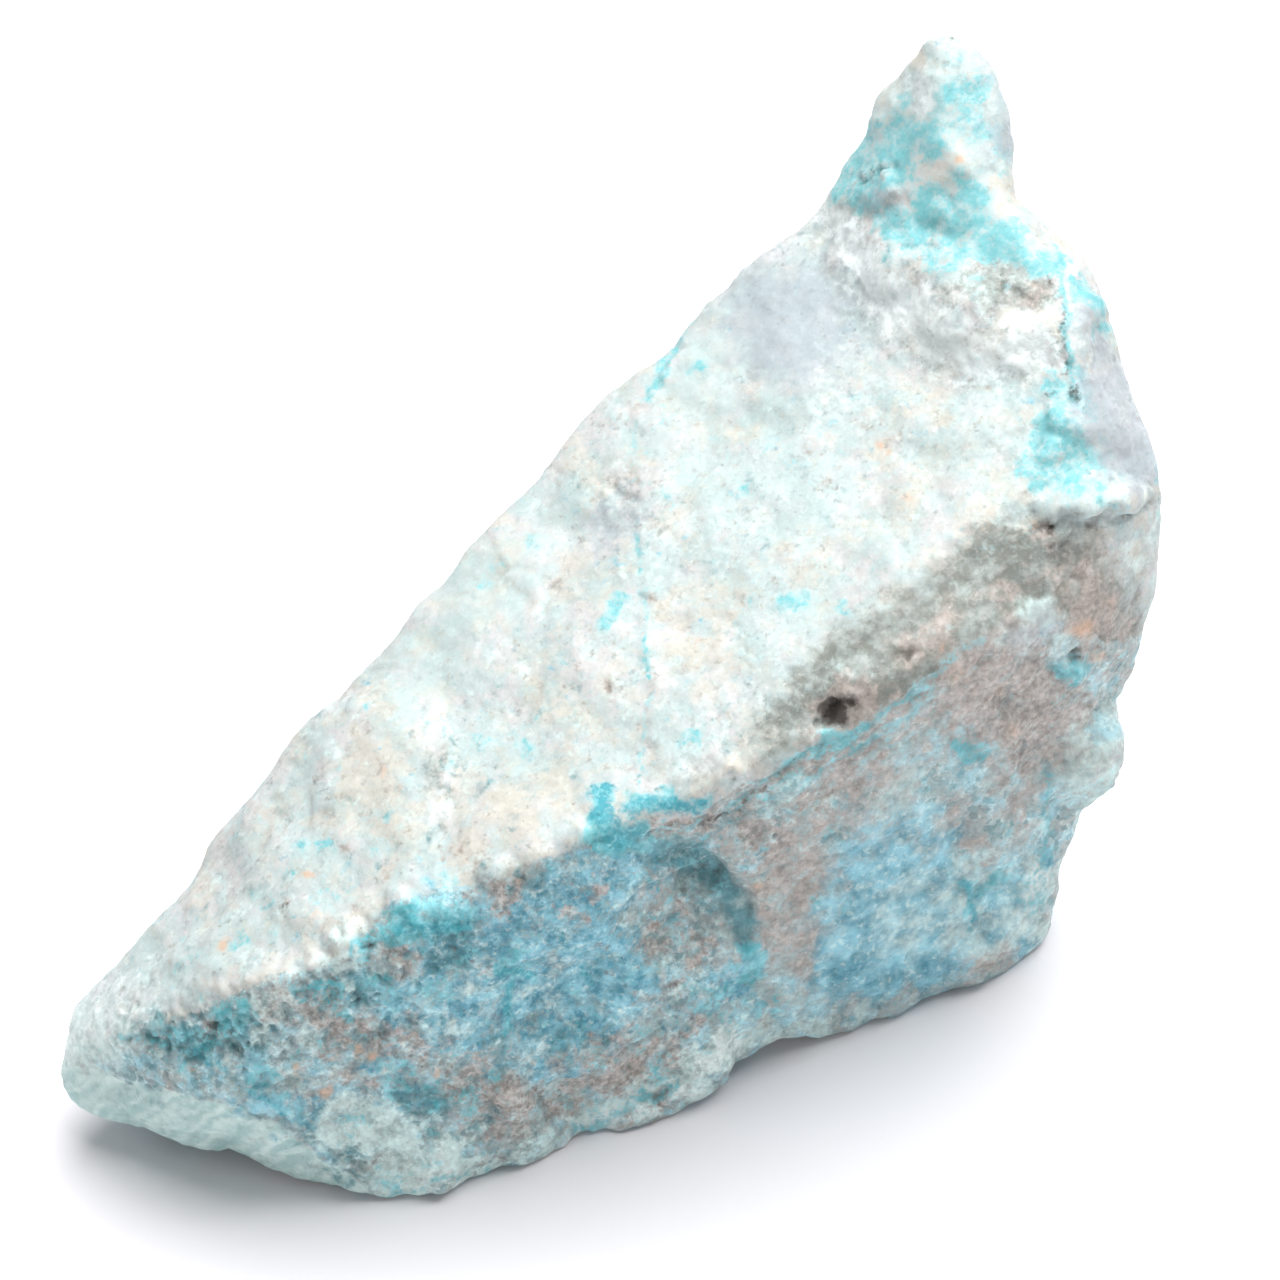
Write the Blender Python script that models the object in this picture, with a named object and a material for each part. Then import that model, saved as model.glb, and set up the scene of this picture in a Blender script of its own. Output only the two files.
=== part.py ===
"""A rough piece of chrysocolla grown through its pale host rock, one solid stone.

The stone is a wedge that rests on its broken underside: a low tip at -X, a ramp that climbs to a tall end
at +X, a steep front face on the -Y side, and a horn over the back of the tall end. X is its length, Y its
depth and Z up. Sizes and places below are millimetres, in the frame in which the blocks were laid out.
The finished stone is moved so that the middle of its footprint box is the origin.
"""

import bmesh
import bpy
import numpy as np
from mathutils import Vector, noise

MM = 0.001
STONE = "chrysocolla"
STONE_COLOUR = (0.55, 0.74, 0.73, 1.0)
STONE_ROUGHNESS = 0.75

# The broken blocks that the stone is fused from. Each is the convex hull of its corners.
BLOCKS = {
    "wedge": (
        # the low tip and its undercut corner
        (-28.5, 11.5, 6.5), (-29.5, 10.5, 4.0), (-29.0, 9.5, 2.5), (-26.5, 7.5, 1.5),
        (-27.0, 5.0, 12.0), (-24.0, 0.0, 9.5), (-19.5, -2.0, 4.5),
        # the ridge between the top face and the front face
        (-23.0, 0.0, 17.0), (-18.0, -2.5, 19.5), (-10.5, -5.0, 23.5), (-2.0, -7.5, 27.0),
        (6.0, -7.5, 29.5), (12.5, -8.5, 31.5), (18.0, -7.5, 33.0), (20.5, -5.5, 34.5),
        # the brow under it, on the front face
        (8.0, -9.0, 29.5), (17.5, -9.0, 30.5), (23.5, -8.0, 29.5),
        # the tall end
        (25.5, -6.5, 33.5), (23.5, -3.0, 37.5), (29.0, 2.0, 36.5), (29.0, -1.0, 34.5),
        (28.5, -3.5, 32.0), (28.0, -5.0, 29.5), (28.0, -5.0, 25.0), (27.5, -4.0, 18.5),
        (26.0, -1.5, 5.0),
        # the upper edge of the hidden back
        (-26.0, 11.0, 9.5), (-17.0, 11.0, 17.0), (-10.0, 13.5, 20.5), (1.5, 17.0, 25.0),
        (8.0, 18.5, 28.0), (14.5, 19.5, 31.0), (21.0, 20.5, 34.0), (27.0, 20.5, 34.0),
        # the underside and the foot of the back
        (-16.5, -3.0, -0.2), (1.0, -4.5, -0.2), (18.5, -5.0, -0.2), (22.5, -4.0, -0.2),
        (25.0, -1.0, -0.2), (27.0, 18.5, -0.2), (8.0, 22.5, -0.2), (-12.0, 18.0, -0.2),
        (5.0, 23.0, 12.0), (27.5, 22.0, 16.0),
    ),
    "shoulder": (
        (22.5, 12.5, 37.8), (22.5, 7.5, 38.5), (24.0, 4.0, 39.4), (25.0, 1.5, 40.0),
        (26.0, 2.2, 40.6), (27.0, 6.0, 41.3), (26.5, 9.0, 41.6), (26.0, 0.0, 39.5),
        (29.5, 2.5, 36.5), (29.9, 5.3, 37.8), (29.5, 8.0, 38.7), (29.0, 9.2, 39.6),
        (24.0, -3.0, 37.0), (20.0, 5.0, 32.0), (21.0, 15.0, 32.0), (28.0, 14.0, 30.0),
        (28.5, 0.0, 30.0),
    ),
    "horn": (
        (29.0, 18.5, 45.9), (27.8, 19.8, 43.2), (26.2, 21.0, 40.0), (24.7, 20.8, 37.5),
        (23.3, 20.8, 35.4), (22.3, 18.3, 36.2), (22.8, 12.6, 37.8), (25.7, 14.1, 43.6),
        (25.3, 11.6, 42.4), (26.8, 9.5, 41.4), (30.0, 14.9, 44.2), (29.7, 12.7, 42.3),
        (28.6, 10.4, 40.3), (21.0, 15.0, 31.0), (21.5, 20.5, 31.0), (28.0, 21.5, 30.0),
        (28.5, 12.0, 30.0),
    ),
    "knob": (
        (24.9, -7.1, 17.7), (25.6, -7.1, 15.4), (24.6, -7.0, 13.0), (23.2, -6.0, 11.0),
        (21.1, -6.2, 14.8), (21.5, -6.6, 18.5), (22.8, -8.0, 16.9), (20.5, -2.0, 9.0),
        (26.0, -2.0, 10.0), (26.5, -2.0, 20.0), (20.5, -2.0, 22.0),
    ),
    "nose": (
        (19.7, -6.6, 34.6), (21.5, -7.4, 35.3), (24.5, -7.6, 34.9), (26.0, -6.6, 33.8),
        (22.0, -4.5, 35.8), (25.0, -4.3, 35.6), (21.0, -6.5, 32.0), (26.0, -5.5, 31.5),
        (23.0, -2.0, 33.0),
    ),
    "slab": (
        (-16.5, 6.2, 18.0), (-13.2, 10.8, 20.5), (-9.6, 12.0, 22.4), (-7.2, 9.4, 23.2),
        (-7.6, 5.9, 23.4), (-9.6, 2.6, 23.1), (-12.8, 0.6, 22.2), (-15.8, 2.0, 19.8),
        (-11.0, 6.0, 15.0),
    ),
}

# Shells that broke away: the middle and the three radii of the ellipsoid that each left.
SCOOPS = {
    "bowl": ((-2.0, -11.4, 16.5), (6.5, 6.8, 6.5)),
    "bowl_tail": ((-8.5, -12.0, 13.5), (8.5, 8.2, 8.0)),
    "notch": ((-7.5, -6.9, 4.2), (3.6, 3.3, 4.2)),
    "heel": ((28.8, -7.0, 4.0), (5.0, 5.0, 8.0)),
    "groove": ((15.0, -11.0, 12.0), (2.4, 4.6, 8.0)),
    "socket": ((6.2, -8.8, 29.2), (1.5, 1.9, 1.1)),
    "arch": ((5.0, -6.5, -1.2), (6.0, 6.0, 2.4)),
    "belly": ((5.0, 9.0, -2.6), (15.0, 8.5, 3.6)),
    "back_bowl": ((-4.0, 29.5, 9.0), (12.0, 9.0, 10.0)),
    "back_shell": ((17.0, 33.0, 21.0), (11.0, 12.5, 9.0)),
    "end_shell": ((38.0, 11.0, 16.0), (12.0, 9.0, 11.0)),
}

VOXEL = 0.75
CHIP = 6.5
CHIP_DEPTH = 0.55
CHIP_TILT = 0.9
CHIP_EDGE = 0.14
LUMP = 3.0
LUMP_DEPTH = 0.26
SEED_SHIFT = Vector((3.7, 11.3, 5.1))
KEEP_SHARE = 0.31


def clear_scene():
    for old in list(bpy.data.objects):
        bpy.data.objects.remove(old, do_unlink=True)


def add_object(name, bm):
    mesh = bpy.data.meshes.new(name)
    bm.to_mesh(mesh)
    bm.free()
    made = bpy.data.objects.new(name, mesh)
    bpy.context.scene.collection.objects.link(made)
    return made


def add_block(name, corners):
    """The convex block that spans the corners."""
    bm = bmesh.new()
    for corner in corners:
        bm.verts.new(Vector(corner) * MM)
    made = bmesh.ops.convex_hull(bm, input=bm.verts)
    inner = [item for item in made["geom_interior"] if isinstance(item, bmesh.types.BMVert)]
    bmesh.ops.delete(bm, geom=inner, context="VERTS")
    bmesh.ops.recalc_face_normals(bm, faces=bm.faces)
    return add_object(name, bm)


def add_shell(name, middle, radii):
    """The ellipsoid whose outside was the surface of a lost chip."""
    bm = bmesh.new()
    bmesh.ops.create_icosphere(bm, subdivisions=4, radius=1.0)
    bmesh.ops.scale(bm, vec=Vector(radii) * MM, verts=bm.verts)
    bmesh.ops.translate(bm, vec=Vector(middle) * MM, verts=bm.verts)
    return add_object(name, bm)


def combine(stone, other, operation):
    """Joins a block to the stone, or takes a shell from it, and keeps the other as a hidden guide."""
    other.hide_render = True
    other.display_type = "WIRE"
    step = stone.modifiers.new(other.name, "BOOLEAN")
    step.operation = operation
    step.object = other


def chip_relief(place):
    """Height of the broken chips at a place: tilted plates with a short ramp from each to the next."""
    distances, middles = noise.voronoi(place / CHIP + SEED_SHIFT)
    heights = []
    for middle in middles[:2]:
        turn = noise.cell_vector(middle * 7.3) - Vector((0.5, 0.5, 0.5))
        away = place / CHIP + SEED_SHIFT - middle
        heights.append(CHIP_DEPTH * (turn.x + CHIP_TILT * turn.dot(away)))
    share = min(1.0, (distances[1] - distances[0]) / CHIP_EDGE)
    return heights[0] * (0.5 + 0.5 * share) + heights[1] * (0.5 - 0.5 * share)


def add_relief(mesh):
    """Moves each vertex along its normal by the chips and by the soft lumps over them."""
    for vertex in mesh.vertices:
        place = vertex.co / MM
        lump = noise.fractal(place / LUMP, 0.9, 2.1, 3)
        vertex.co += vertex.normal * (chip_relief(place) + LUMP_DEPTH * lump) * MM


def flatten_foot(mesh):
    """Cuts what lies under the table plane, which leaves flat contact patches on the underside."""
    bm = bmesh.new()
    bm.from_mesh(mesh)
    cut = bmesh.ops.bisect_plane(
        bm, geom=bm.verts[:] + bm.edges[:] + bm.faces[:], plane_co=(0, 0, 0), plane_no=(0, 0, 1),
        clear_inner=True,
    )
    rim = [item for item in cut["geom_cut"] if isinstance(item, bmesh.types.BMEdge)]
    bmesh.ops.triangle_fill(bm, edges=rim, use_beauty=True, use_dissolve=False, normal=(0, 0, -1))
    bmesh.ops.triangulate(bm, faces=bm.faces)
    bm.to_mesh(mesh)
    bm.free()


def centre_on_foot(mesh):
    """Puts the origin at the middle of the bottom of the stone's box."""
    places = np.empty(len(mesh.vertices) * 3, np.float32)
    mesh.vertices.foreach_get("co", places)
    places = places.reshape(-1, 3)
    low, high = places.min(axis=0), places.max(axis=0)
    places -= np.array(((low[0] + high[0]) / 2, (low[1] + high[1]) / 2, low[2]), np.float32)
    mesh.vertices.foreach_set("co", places.ravel())
    mesh.update()


def evaluated_mesh(stone):
    graph = bpy.context.evaluated_depsgraph_get()
    return bpy.data.meshes.new_from_object(stone.evaluated_get(graph))


def stone_material():
    material = bpy.data.materials.new(STONE)
    material.use_nodes = True
    shader = material.node_tree.nodes["Principled BSDF"]
    shader.inputs["Base Color"].default_value = STONE_COLOUR
    shader.inputs["Roughness"].default_value = STONE_ROUGHNESS
    shader.inputs["Metallic"].default_value = 0.0
    return material


def build_stone():
    corners = dict(BLOCKS)
    stone = add_block(STONE, corners.pop("wedge"))
    for name, block in corners.items():
        combine(stone, add_block(name, block), "UNION")
    for name, (middle, radii) in SCOOPS.items():
        combine(stone, add_shell(name, middle, radii), "DIFFERENCE")
    skin = stone.modifiers.new("even skin", "REMESH")
    skin.mode = "VOXEL"
    skin.voxel_size = VOXEL * MM
    mesh = evaluated_mesh(stone)
    stone.modifiers.clear()
    add_relief(mesh)
    stone.data = mesh
    thin = stone.modifiers.new("fewer faces", "DECIMATE")
    thin.ratio = KEEP_SHARE
    mesh = evaluated_mesh(stone)
    stone.modifiers.clear()
    flatten_foot(mesh)
    centre_on_foot(mesh)
    stone.data = mesh
    mesh.materials.append(stone_material())


clear_scene()
build_stone()
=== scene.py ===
"""Looks of a raw chrysocolla stone: sugary host rock, turquoise and blue crusts, veins and pits."""

import math

import bpy
import numpy as np
from bpy.props import FloatProperty, FloatVectorProperty, IntProperty, PointerProperty
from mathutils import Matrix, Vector, noise
from mathutils.kdtree import KDTree


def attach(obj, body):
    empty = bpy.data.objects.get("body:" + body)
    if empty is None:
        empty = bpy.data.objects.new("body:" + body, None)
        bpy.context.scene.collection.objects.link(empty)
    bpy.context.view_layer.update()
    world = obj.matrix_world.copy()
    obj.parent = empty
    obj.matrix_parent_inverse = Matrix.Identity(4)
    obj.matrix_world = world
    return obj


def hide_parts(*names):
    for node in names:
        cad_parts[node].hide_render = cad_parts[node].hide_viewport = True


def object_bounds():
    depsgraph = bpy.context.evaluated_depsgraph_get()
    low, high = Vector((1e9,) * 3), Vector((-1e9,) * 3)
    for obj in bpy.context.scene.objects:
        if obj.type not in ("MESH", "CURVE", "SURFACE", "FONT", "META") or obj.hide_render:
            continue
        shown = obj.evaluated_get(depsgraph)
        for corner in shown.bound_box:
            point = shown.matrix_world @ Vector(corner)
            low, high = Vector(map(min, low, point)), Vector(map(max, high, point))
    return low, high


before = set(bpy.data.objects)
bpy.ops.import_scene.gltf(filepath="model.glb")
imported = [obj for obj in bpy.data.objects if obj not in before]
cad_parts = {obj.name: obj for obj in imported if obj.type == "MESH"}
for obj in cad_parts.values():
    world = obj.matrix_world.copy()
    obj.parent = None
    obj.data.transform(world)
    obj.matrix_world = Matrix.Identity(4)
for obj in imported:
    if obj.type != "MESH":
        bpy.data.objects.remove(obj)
cad_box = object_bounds()

bl_info = {
    "name": "Raw chrysocolla stone",
    "version": (1, 0, 0),
    "blender": (4, 5, 0),
    "location": "3D View > Sidebar > Stone",
    "description": "Builds the broken surface, the crusts and the stage of a raw chrysocolla stone",
    "category": "Object",
}

MM = 0.001
STONE = "chrysocolla"
BODY_NAME = "stone_surface"

# The main view: 1280 steps across, one step being a twentieth of a millimetre on the plane through TARGET.
VIEW_AZIMUTH = math.radians(-30.0)
VIEW_ELEVATION = math.radians(44.0)
VIEW_DISTANCE = 320.0
VIEW_STEPS = 1280
VIEW_STEP = 0.05
TARGET = np.array((-0.384, -6.922, 30.6))
SENSOR_WIDTH = 36.0

# Every mark below is laid out on the main view, in its steps: x to the right and y down from its corner.
# The line of the ridge, where the pale top face ends and the blue front face starts.
RIDGE = (
    (30, 1052), (100, 1042), (145, 1034), (178, 1017), (220, 1002), (270, 978), (312, 968), (345, 958),
    (353, 938), (378, 918), (407, 899), (450, 890), (495, 878), (530, 868), (560, 850), (600, 838),
    (640, 832), (680, 822), (720, 800), (760, 776), (800, 750), (828, 738), (880, 712), (930, 672),
    (960, 655), (1000, 636), (1060, 620), (1110, 640), (1180, 640),
)
# The undercut corner under the tip lies below this line.
CORNER = ((30, 1062), (120, 1076), (230, 1104), (300, 1140), (345, 1172), (400, 1215), (420, 1260))
# How many steps the change at each of these two lines takes.
RIDGE_EDGE = 16
CORNER_EDGE = 10
# Lines that are both a groove and a colour.
VEIN_HEAD = ((696, 308), (674, 342), (659, 378), (644, 402))
STAIN_CRACK = ((606, 480), (620, 489), (634, 500))
HORN_CRACK = ((858, 180), (872, 172), (890, 166))
BROW_CRACK = ((1044, 512), (1056, 536), (1062, 566), (1070, 590))

# How much of its depth the grain keeps: see laid().
DEPTH_SHARE = 0.5
# The way of the fine layers along the ridge, and their length and thickness in steps.
STREAK_WAY = (0.83, -0.56)
STREAK_LENGTH = 60.0
STREAK_THICKNESS = 7.0
# The crusts that break up into patches, the patches' size in millimetres and the shift from crust to crust.
PATCHY_CRUSTS = ("mint", "cream", "turquoise", "blue", "brown", "teal", "pale")
PATCH_SIZE = 1.2
PATCH_SHIFT = 7.7
# Soft clouds that tint the rock: name, shift of the noise, size in millimetres and octaves.
CLOUDS = (("patch", 101.0, 3.0, 5), ("mottle", 113.0, 1.3, 4), ("blotch", 127.0, 1.8, 4))
# Most triangles of the finished surface.
MOST_TRIANGLES = 192000
# Widths of the surface's forms, in millimetres.
LUMP_SIZE = 2.0
GRAIN_SIZE = 0.8
CRUMBLE_SIZE = 0.9
HOLLOW_SIZE = 0.95
BACK_PLATE_SIZE = 7.5
BACK_LUMP_SIZE = 5.0
# How far from the seen sides the broken ground of the hidden ones starts, and how long it takes to be full.
BACK_START = 1.0
BACK_RAMP = 3.0
# Grain of the material, in millimetres.
FINE_NOISE = 0.40
LUMPY_GRAIN = 0.36
CRYSTAL_GRAIN = 0.20
# The stage, in metres.
FLOOR_SIZE = 6.0
FLOOR_DROP = 0.00002
LAMP_PLACE = (0.11, 0.045, 0.45)
LAMP_SIZE = 0.55
LAMP_AIM = (0.0, 0.0, 0.02)
CAMERA_CLIP = 0.01

# Spots: x, y, radius in steps and, where it isn't 1, strength.
TURQUOISE_SPOTS = (
    # horn
    (838, 186, 16, 0.9), (856, 162, 22, 0.75), (882, 142, 26, 0.8), (908, 124, 18, 0.7),
    (926, 146, 18, 0.7), (900, 168, 18, 0.9), (866, 194, 18, 0.8), (845, 205, 12, 0.8), (958, 60, 12, 0.6),
    (966, 100, 14, 0.6), (985, 128, 14, 0.5), (940, 96, 12, 0.4), (1000, 156, 12, 0.6),
    (1008, 182, 10, 0.6), (866, 116, 12, 0.5), (950, 130, 40, 0.5), (980, 90, 32, 0.55),
    # shoulder
    (920, 214, 24, 0.95), (950, 222, 30, 0.85), (984, 232, 30, 0.85), (1012, 246, 22), (1038, 260, 16),
    (905, 236, 18, 0.9), (962, 196, 20, 0.8), (940, 250, 20, 0.8), (985, 264, 14, 0.6), (1052, 268, 12),
    (890, 222, 14, 0.8), (1000, 262, 16, 0.6),
    # tall end
    (1063, 385, 19), (1076, 406, 18), (1053, 412, 19), (1060, 438, 20), (1082, 440, 15), (1040, 456, 18),
    (1070, 464, 20), (1094, 466, 14), (1036, 478, 16, 0.9), (1034, 440, 14, 0.8), (1092, 448, 12, 0.9),
    (1076, 294, 10), (1090, 292, 12), (1100, 302, 12), (1105, 320, 12), (1103, 334, 9), (1162, 480, 8, 0.8),
    (1071, 670, 13), (1098, 490, 20, 0.6), (1066, 494, 16, 0.6),
    # top face
    (478, 572, 26, 0.35), (525, 537, 8, 0.5), (362, 694, 12, 0.3), (782, 598, 15, 0.6), (756, 606, 12, 0.5),
    (802, 594, 13, 0.6), (735, 618, 9, 0.45), (838, 608, 7, 0.6), (765, 478, 24, 0.4), (735, 490, 18, 0.35),
    (790, 460, 16, 0.3), (692, 731, 12, 0.7), (525, 746, 10, 0.6), (487, 749, 13, 0.5), (508, 742, 9, 0.5),
    (696, 372, 11, 0.6), (664, 422, 12, 0.45), (640, 452, 10, 0.5), (639, 560, 8, 0.7), (672, 500, 9, 0.4),
    (640, 598, 6, 0.6), (645, 640, 6, 0.6), (650, 662, 6, 0.6), (307, 847, 18, 0.6), (386, 808, 10, 0.4),
    (290, 872, 10, 0.5), (270, 905, 14, 0.5), (238, 932, 10, 0.5), (318, 900, 12, 0.5), (350, 885, 9, 0.5),
    (452, 882, 12, 0.4), (420, 880, 12, 0.3), (180, 960, 14, 0.4), (596, 812, 14), (604, 832, 15),
    (612, 852, 12), (672, 803, 12), (696, 805, 9), (638, 838, 12, 0.9), (844, 737, 8), (826, 744, 6, 0.8),
    (455, 870, 8, 0.5),
    # front face
    (412, 924, 18), (440, 922, 15), (462, 914, 12), (396, 936, 14, 0.9), (366, 940, 12, 0.8),
    (378, 984, 12), (392, 1000, 10, 0.8), (330, 990, 14, 0.8), (300, 985, 12, 0.6), (228, 1013, 16, 0.9),
    (205, 1050, 12, 0.8), (245, 1020, 14, 0.7), (260, 1062, 14, 0.7), (250, 1090, 14, 0.6),
    (300, 1060, 12, 0.5), (345, 1010, 10, 0.7), (430, 1000, 14, 0.6), (395, 1075, 20, 0.6),
    (440, 1096, 16, 0.6), (285, 1112, 14, 0.7), (470, 1110, 14, 0.4), (512, 962, 14, 0.8),
    (500, 975, 10, 0.8), (757, 955, 14, 0.9), (745, 975, 12, 0.7), (716, 1002, 18, 0.6),
    (765, 1000, 14, 0.4), (676, 1010, 14, 0.4), (952, 742, 9), (966, 754, 11), (1002, 888, 16, 0.6),
    (1044, 840, 9, 0.7), (1042, 880, 10, 0.6), (974, 892, 9, 0.8), (975, 915, 8, 0.7), (1030, 900, 12, 0.5),
    (600, 1115, 12, 0.6), (640, 1100, 12, 0.5), (575, 1140, 14, 0.6), (670, 1082, 12, 0.6),
    (660, 1040, 14, 0.4), (480, 1185, 10, 0.6), (387, 1167, 14, 0.4), (400, 1195, 12, 0.5),
    (830, 830, 10, 0.4), (770, 795, 8, 0.4), (700, 855, 10, 0.4), (830, 900, 12, 0.5), (160, 1036, 14, 0.6),
    (184, 1050, 12, 0.6),
)
BLUE_SPOTS = (
    (565, 905, 40), (510, 925, 34, 0.9), (430, 925, 30, 0.8), (460, 985, 44, 0.8), (530, 985, 48, 0.95),
    (600, 995, 44, 0.9), (600, 940, 34, 0.8), (560, 1040, 36, 0.7), (480, 1040, 34, 0.6),
    (640, 975, 26, 0.6), (250, 1092, 30, 0.5), (290, 1112, 24, 0.7), (400, 1015, 34, 0.6),
    (395, 1085, 40, 0.5), (340, 1100, 26, 0.4), (756, 956, 18), (735, 990, 24, 0.8), (700, 1004, 20, 0.5),
    (655, 868, 24, 0.6), (620, 880, 20, 0.6), (870, 905, 52, 0.85), (905, 945, 46, 0.95),
    (860, 965, 36, 0.9), (935, 880, 34, 0.75), (1000, 900, 28, 0.9), (1010, 935, 26, 0.8),
    (945, 965, 28, 0.7), (960, 755, 20, 0.5), (1046, 810, 14, 0.6), (1044, 850, 12, 0.6),
    (828, 980, 20, 0.8), (880, 840, 30, 0.5), (800, 1000, 16, 0.5), (930, 820, 30, 0.5),
    (1030, 960, 16, 0.4), (240, 1040, 36, 0.35), (330, 1000, 30, 0.35),
)
BROWN_SPOTS = (
    # front face
    (310, 1012, 32, 0.5), (275, 1000, 20, 0.4), (230, 1046, 14, 0.6), (214, 1028, 10, 0.7),
    (390, 1062, 34, 0.5), (350, 1042, 26, 0.6), (412, 1034, 20, 0.5), (374, 948, 15, 0.8),
    (400, 956, 13, 0.8), (332, 996, 10, 0.7), (500, 893, 15, 0.9), (520, 881, 12, 0.9), (556, 862, 9, 0.8),
    (575, 915, 9, 0.8), (598, 888, 11, 0.8), (540, 930, 9, 0.4), (665, 932, 26, 0.55), (690, 900, 12, 0.5),
    (650, 900, 14, 0.5), (700, 962, 22, 0.5), (776, 882, 24, 0.6), (800, 920, 30, 0.55),
    (768, 930, 20, 0.5), (822, 880, 26, 0.45), (790, 955, 22, 0.6), (760, 850, 26, 0.6),
    (800, 842, 30, 0.6), (850, 800, 34, 0.6), (820, 775, 26, 0.5), (880, 770, 26, 0.5),
    (630, 1080, 34, 0.9), (590, 1072, 26, 0.7), (684, 1050, 24, 0.6), (560, 1102, 20, 0.7),
    (500, 1100, 32, 0.75), (470, 1085, 20, 0.5), (520, 1130, 16, 0.7), (450, 1060, 18, 0.4),
    (440, 1125, 16, 0.4), (480, 1150, 14, 0.5), (990, 700, 46), (1050, 695, 34, 0.9), (1035, 742, 34, 0.9),
    (1008, 772, 20, 0.6), (960, 692, 20, 0.6), (1015, 818, 14, 0.6), (980, 846, 12, 0.9),
    (985, 960, 14, 0.8), (1010, 960, 14, 0.7), (960, 815, 16, 0.5), (910, 735, 24, 0.4),
    (930, 1000, 12, 0.6), (700, 830, 20, 0.5), (740, 812, 20, 0.6), (655, 828, 12, 0.7),
    # tall end
    (1085, 740, 20, 0.5), (1090, 775, 18, 0.35), (1020, 655, 24, 0.5), (1000, 668, 26, 0.7),
    (960, 675, 24, 0.6), (1085, 600, 26, 0.8), (1100, 570, 24, 0.6), (1112, 622, 24, 0.6),
    (1084, 640, 16, 0.8), (1060, 562, 24, 0.4), (1044, 534, 14, 0.6), (1110, 660, 20, 0.3),
    (1090, 530, 20, 0.2), (1000, 600, 20, 0.3), (940, 620, 20, 0.3),
    # top face
    (906, 656, 16, 0.7), (868, 690, 18, 0.7), (940, 640, 12, 0.6), (604, 687, 8, 0.7), (738, 380, 6, 0.6),
    (345, 857, 9, 0.7), (365, 727, 6, 0.5), (1006, 284, 14, 0.5), (1033, 630, 22, 0.5),
    (1040, 292, 12, 0.5), (895, 650, 22, 0.4), (940, 622, 26, 0.4), (986, 596, 26, 0.3),
    (1050, 570, 26, 0.3), (846, 704, 12), (862, 702, 9), (836, 692, 9, 0.8), (282, 909, 6, 0.6),
    (838, 708, 26), (862, 700, 16), (815, 712, 14, 0.6), (1006, 592, 9, 0.6), (381, 771, 8, 0.5),
)
CREAM_SPOTS = (
    (383, 776, 24, 0.8), (360, 760, 22, 0.8), (366, 797, 24), (371, 717, 22, 0.8), (405, 820, 16, 0.7),
    (330, 820, 18, 0.6), (720, 612, 26, 0.7), (690, 650, 24, 0.8), (660, 612, 12, 0.8), (747, 428, 16, 0.8),
    (700, 440, 16, 0.5), (936, 412, 14), (912, 500, 14, 0.9), (883, 450, 14, 0.9), (900, 480, 14, 0.7),
    (820, 196, 9, 0.7), (1014, 194, 14), (1000, 188, 10), (960, 162, 10, 0.8), (912, 60, 12, 0.8),
    (880, 92, 8, 0.6), (1016, 312, 14, 0.8), (1000, 330, 14, 0.7), (1033, 524, 8), (1054, 240, 10, 0.8),
    (755, 885, 8, 0.8), (500, 800, 26, 0.6), (470, 845, 22, 0.7), (560, 780, 26, 0.6), (605, 1100, 12, 0.6),
    (520, 830, 24, 0.6), (246, 930, 8, 0.7), (430, 790, 12, 0.6), (540, 700, 26, 0.4), (600, 720, 24, 0.5),
    (560, 810, 22, 0.6), (960, 560, 20, 0.3), (1082, 556, 24, 0.9), (690, 780, 18, 0.6),
    (740, 760, 18, 0.5), (980, 520, 20, 0.4), (800, 560, 20, 0.4), (1020, 350, 16, 0.5),
    (345, 940, 18, 0.7), (110, 1030, 20, 0.4), (1100, 780, 30, 0.9), (1095, 700, 24, 0.7),
    (1130, 560, 16, 0.4),
)
ORANGE_SPOTS = (
    (225, 946, 5, 0.9), (232, 938, 4, 0.7), (310, 874, 5, 0.9), (878, 446, 5, 0.7), (888, 456, 5, 0.7),
    (904, 498, 4, 0.7), (960, 162, 5, 0.8), (328, 1092, 7, 0.9), (358, 1050, 5, 0.8), (372, 1058, 6, 0.8),
    (1082, 628, 12, 0.9), (1112, 604, 8, 0.4), (1098, 652, 7, 0.7), (756, 884, 6, 0.7), (402, 786, 5, 0.5),
    (300, 1068, 4, 0.8), (193, 1070, 5, 0.7), (412, 1036, 5, 0.7), (437, 1074, 4, 0.8), (300, 1078, 4, 0.6),
    (944, 650, 5, 0.7), (1034, 524, 4, 0.7), (382, 770, 5, 0.5), (300, 930, 4, 0.5), (316, 915, 4, 0.5),
    (1012, 730, 10, 0.5), (960, 676, 12, 0.5), (1000, 690, 10, 0.5), (213, 1022, 4, 0.6),
    (327, 993, 4, 0.6), (520, 880, 6, 0.5), (640, 1078, 8, 0.4), (205, 980, 5, 0.4), (744, 440, 5, 0.4),
    (700, 640, 6, 0.4),
)
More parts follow.
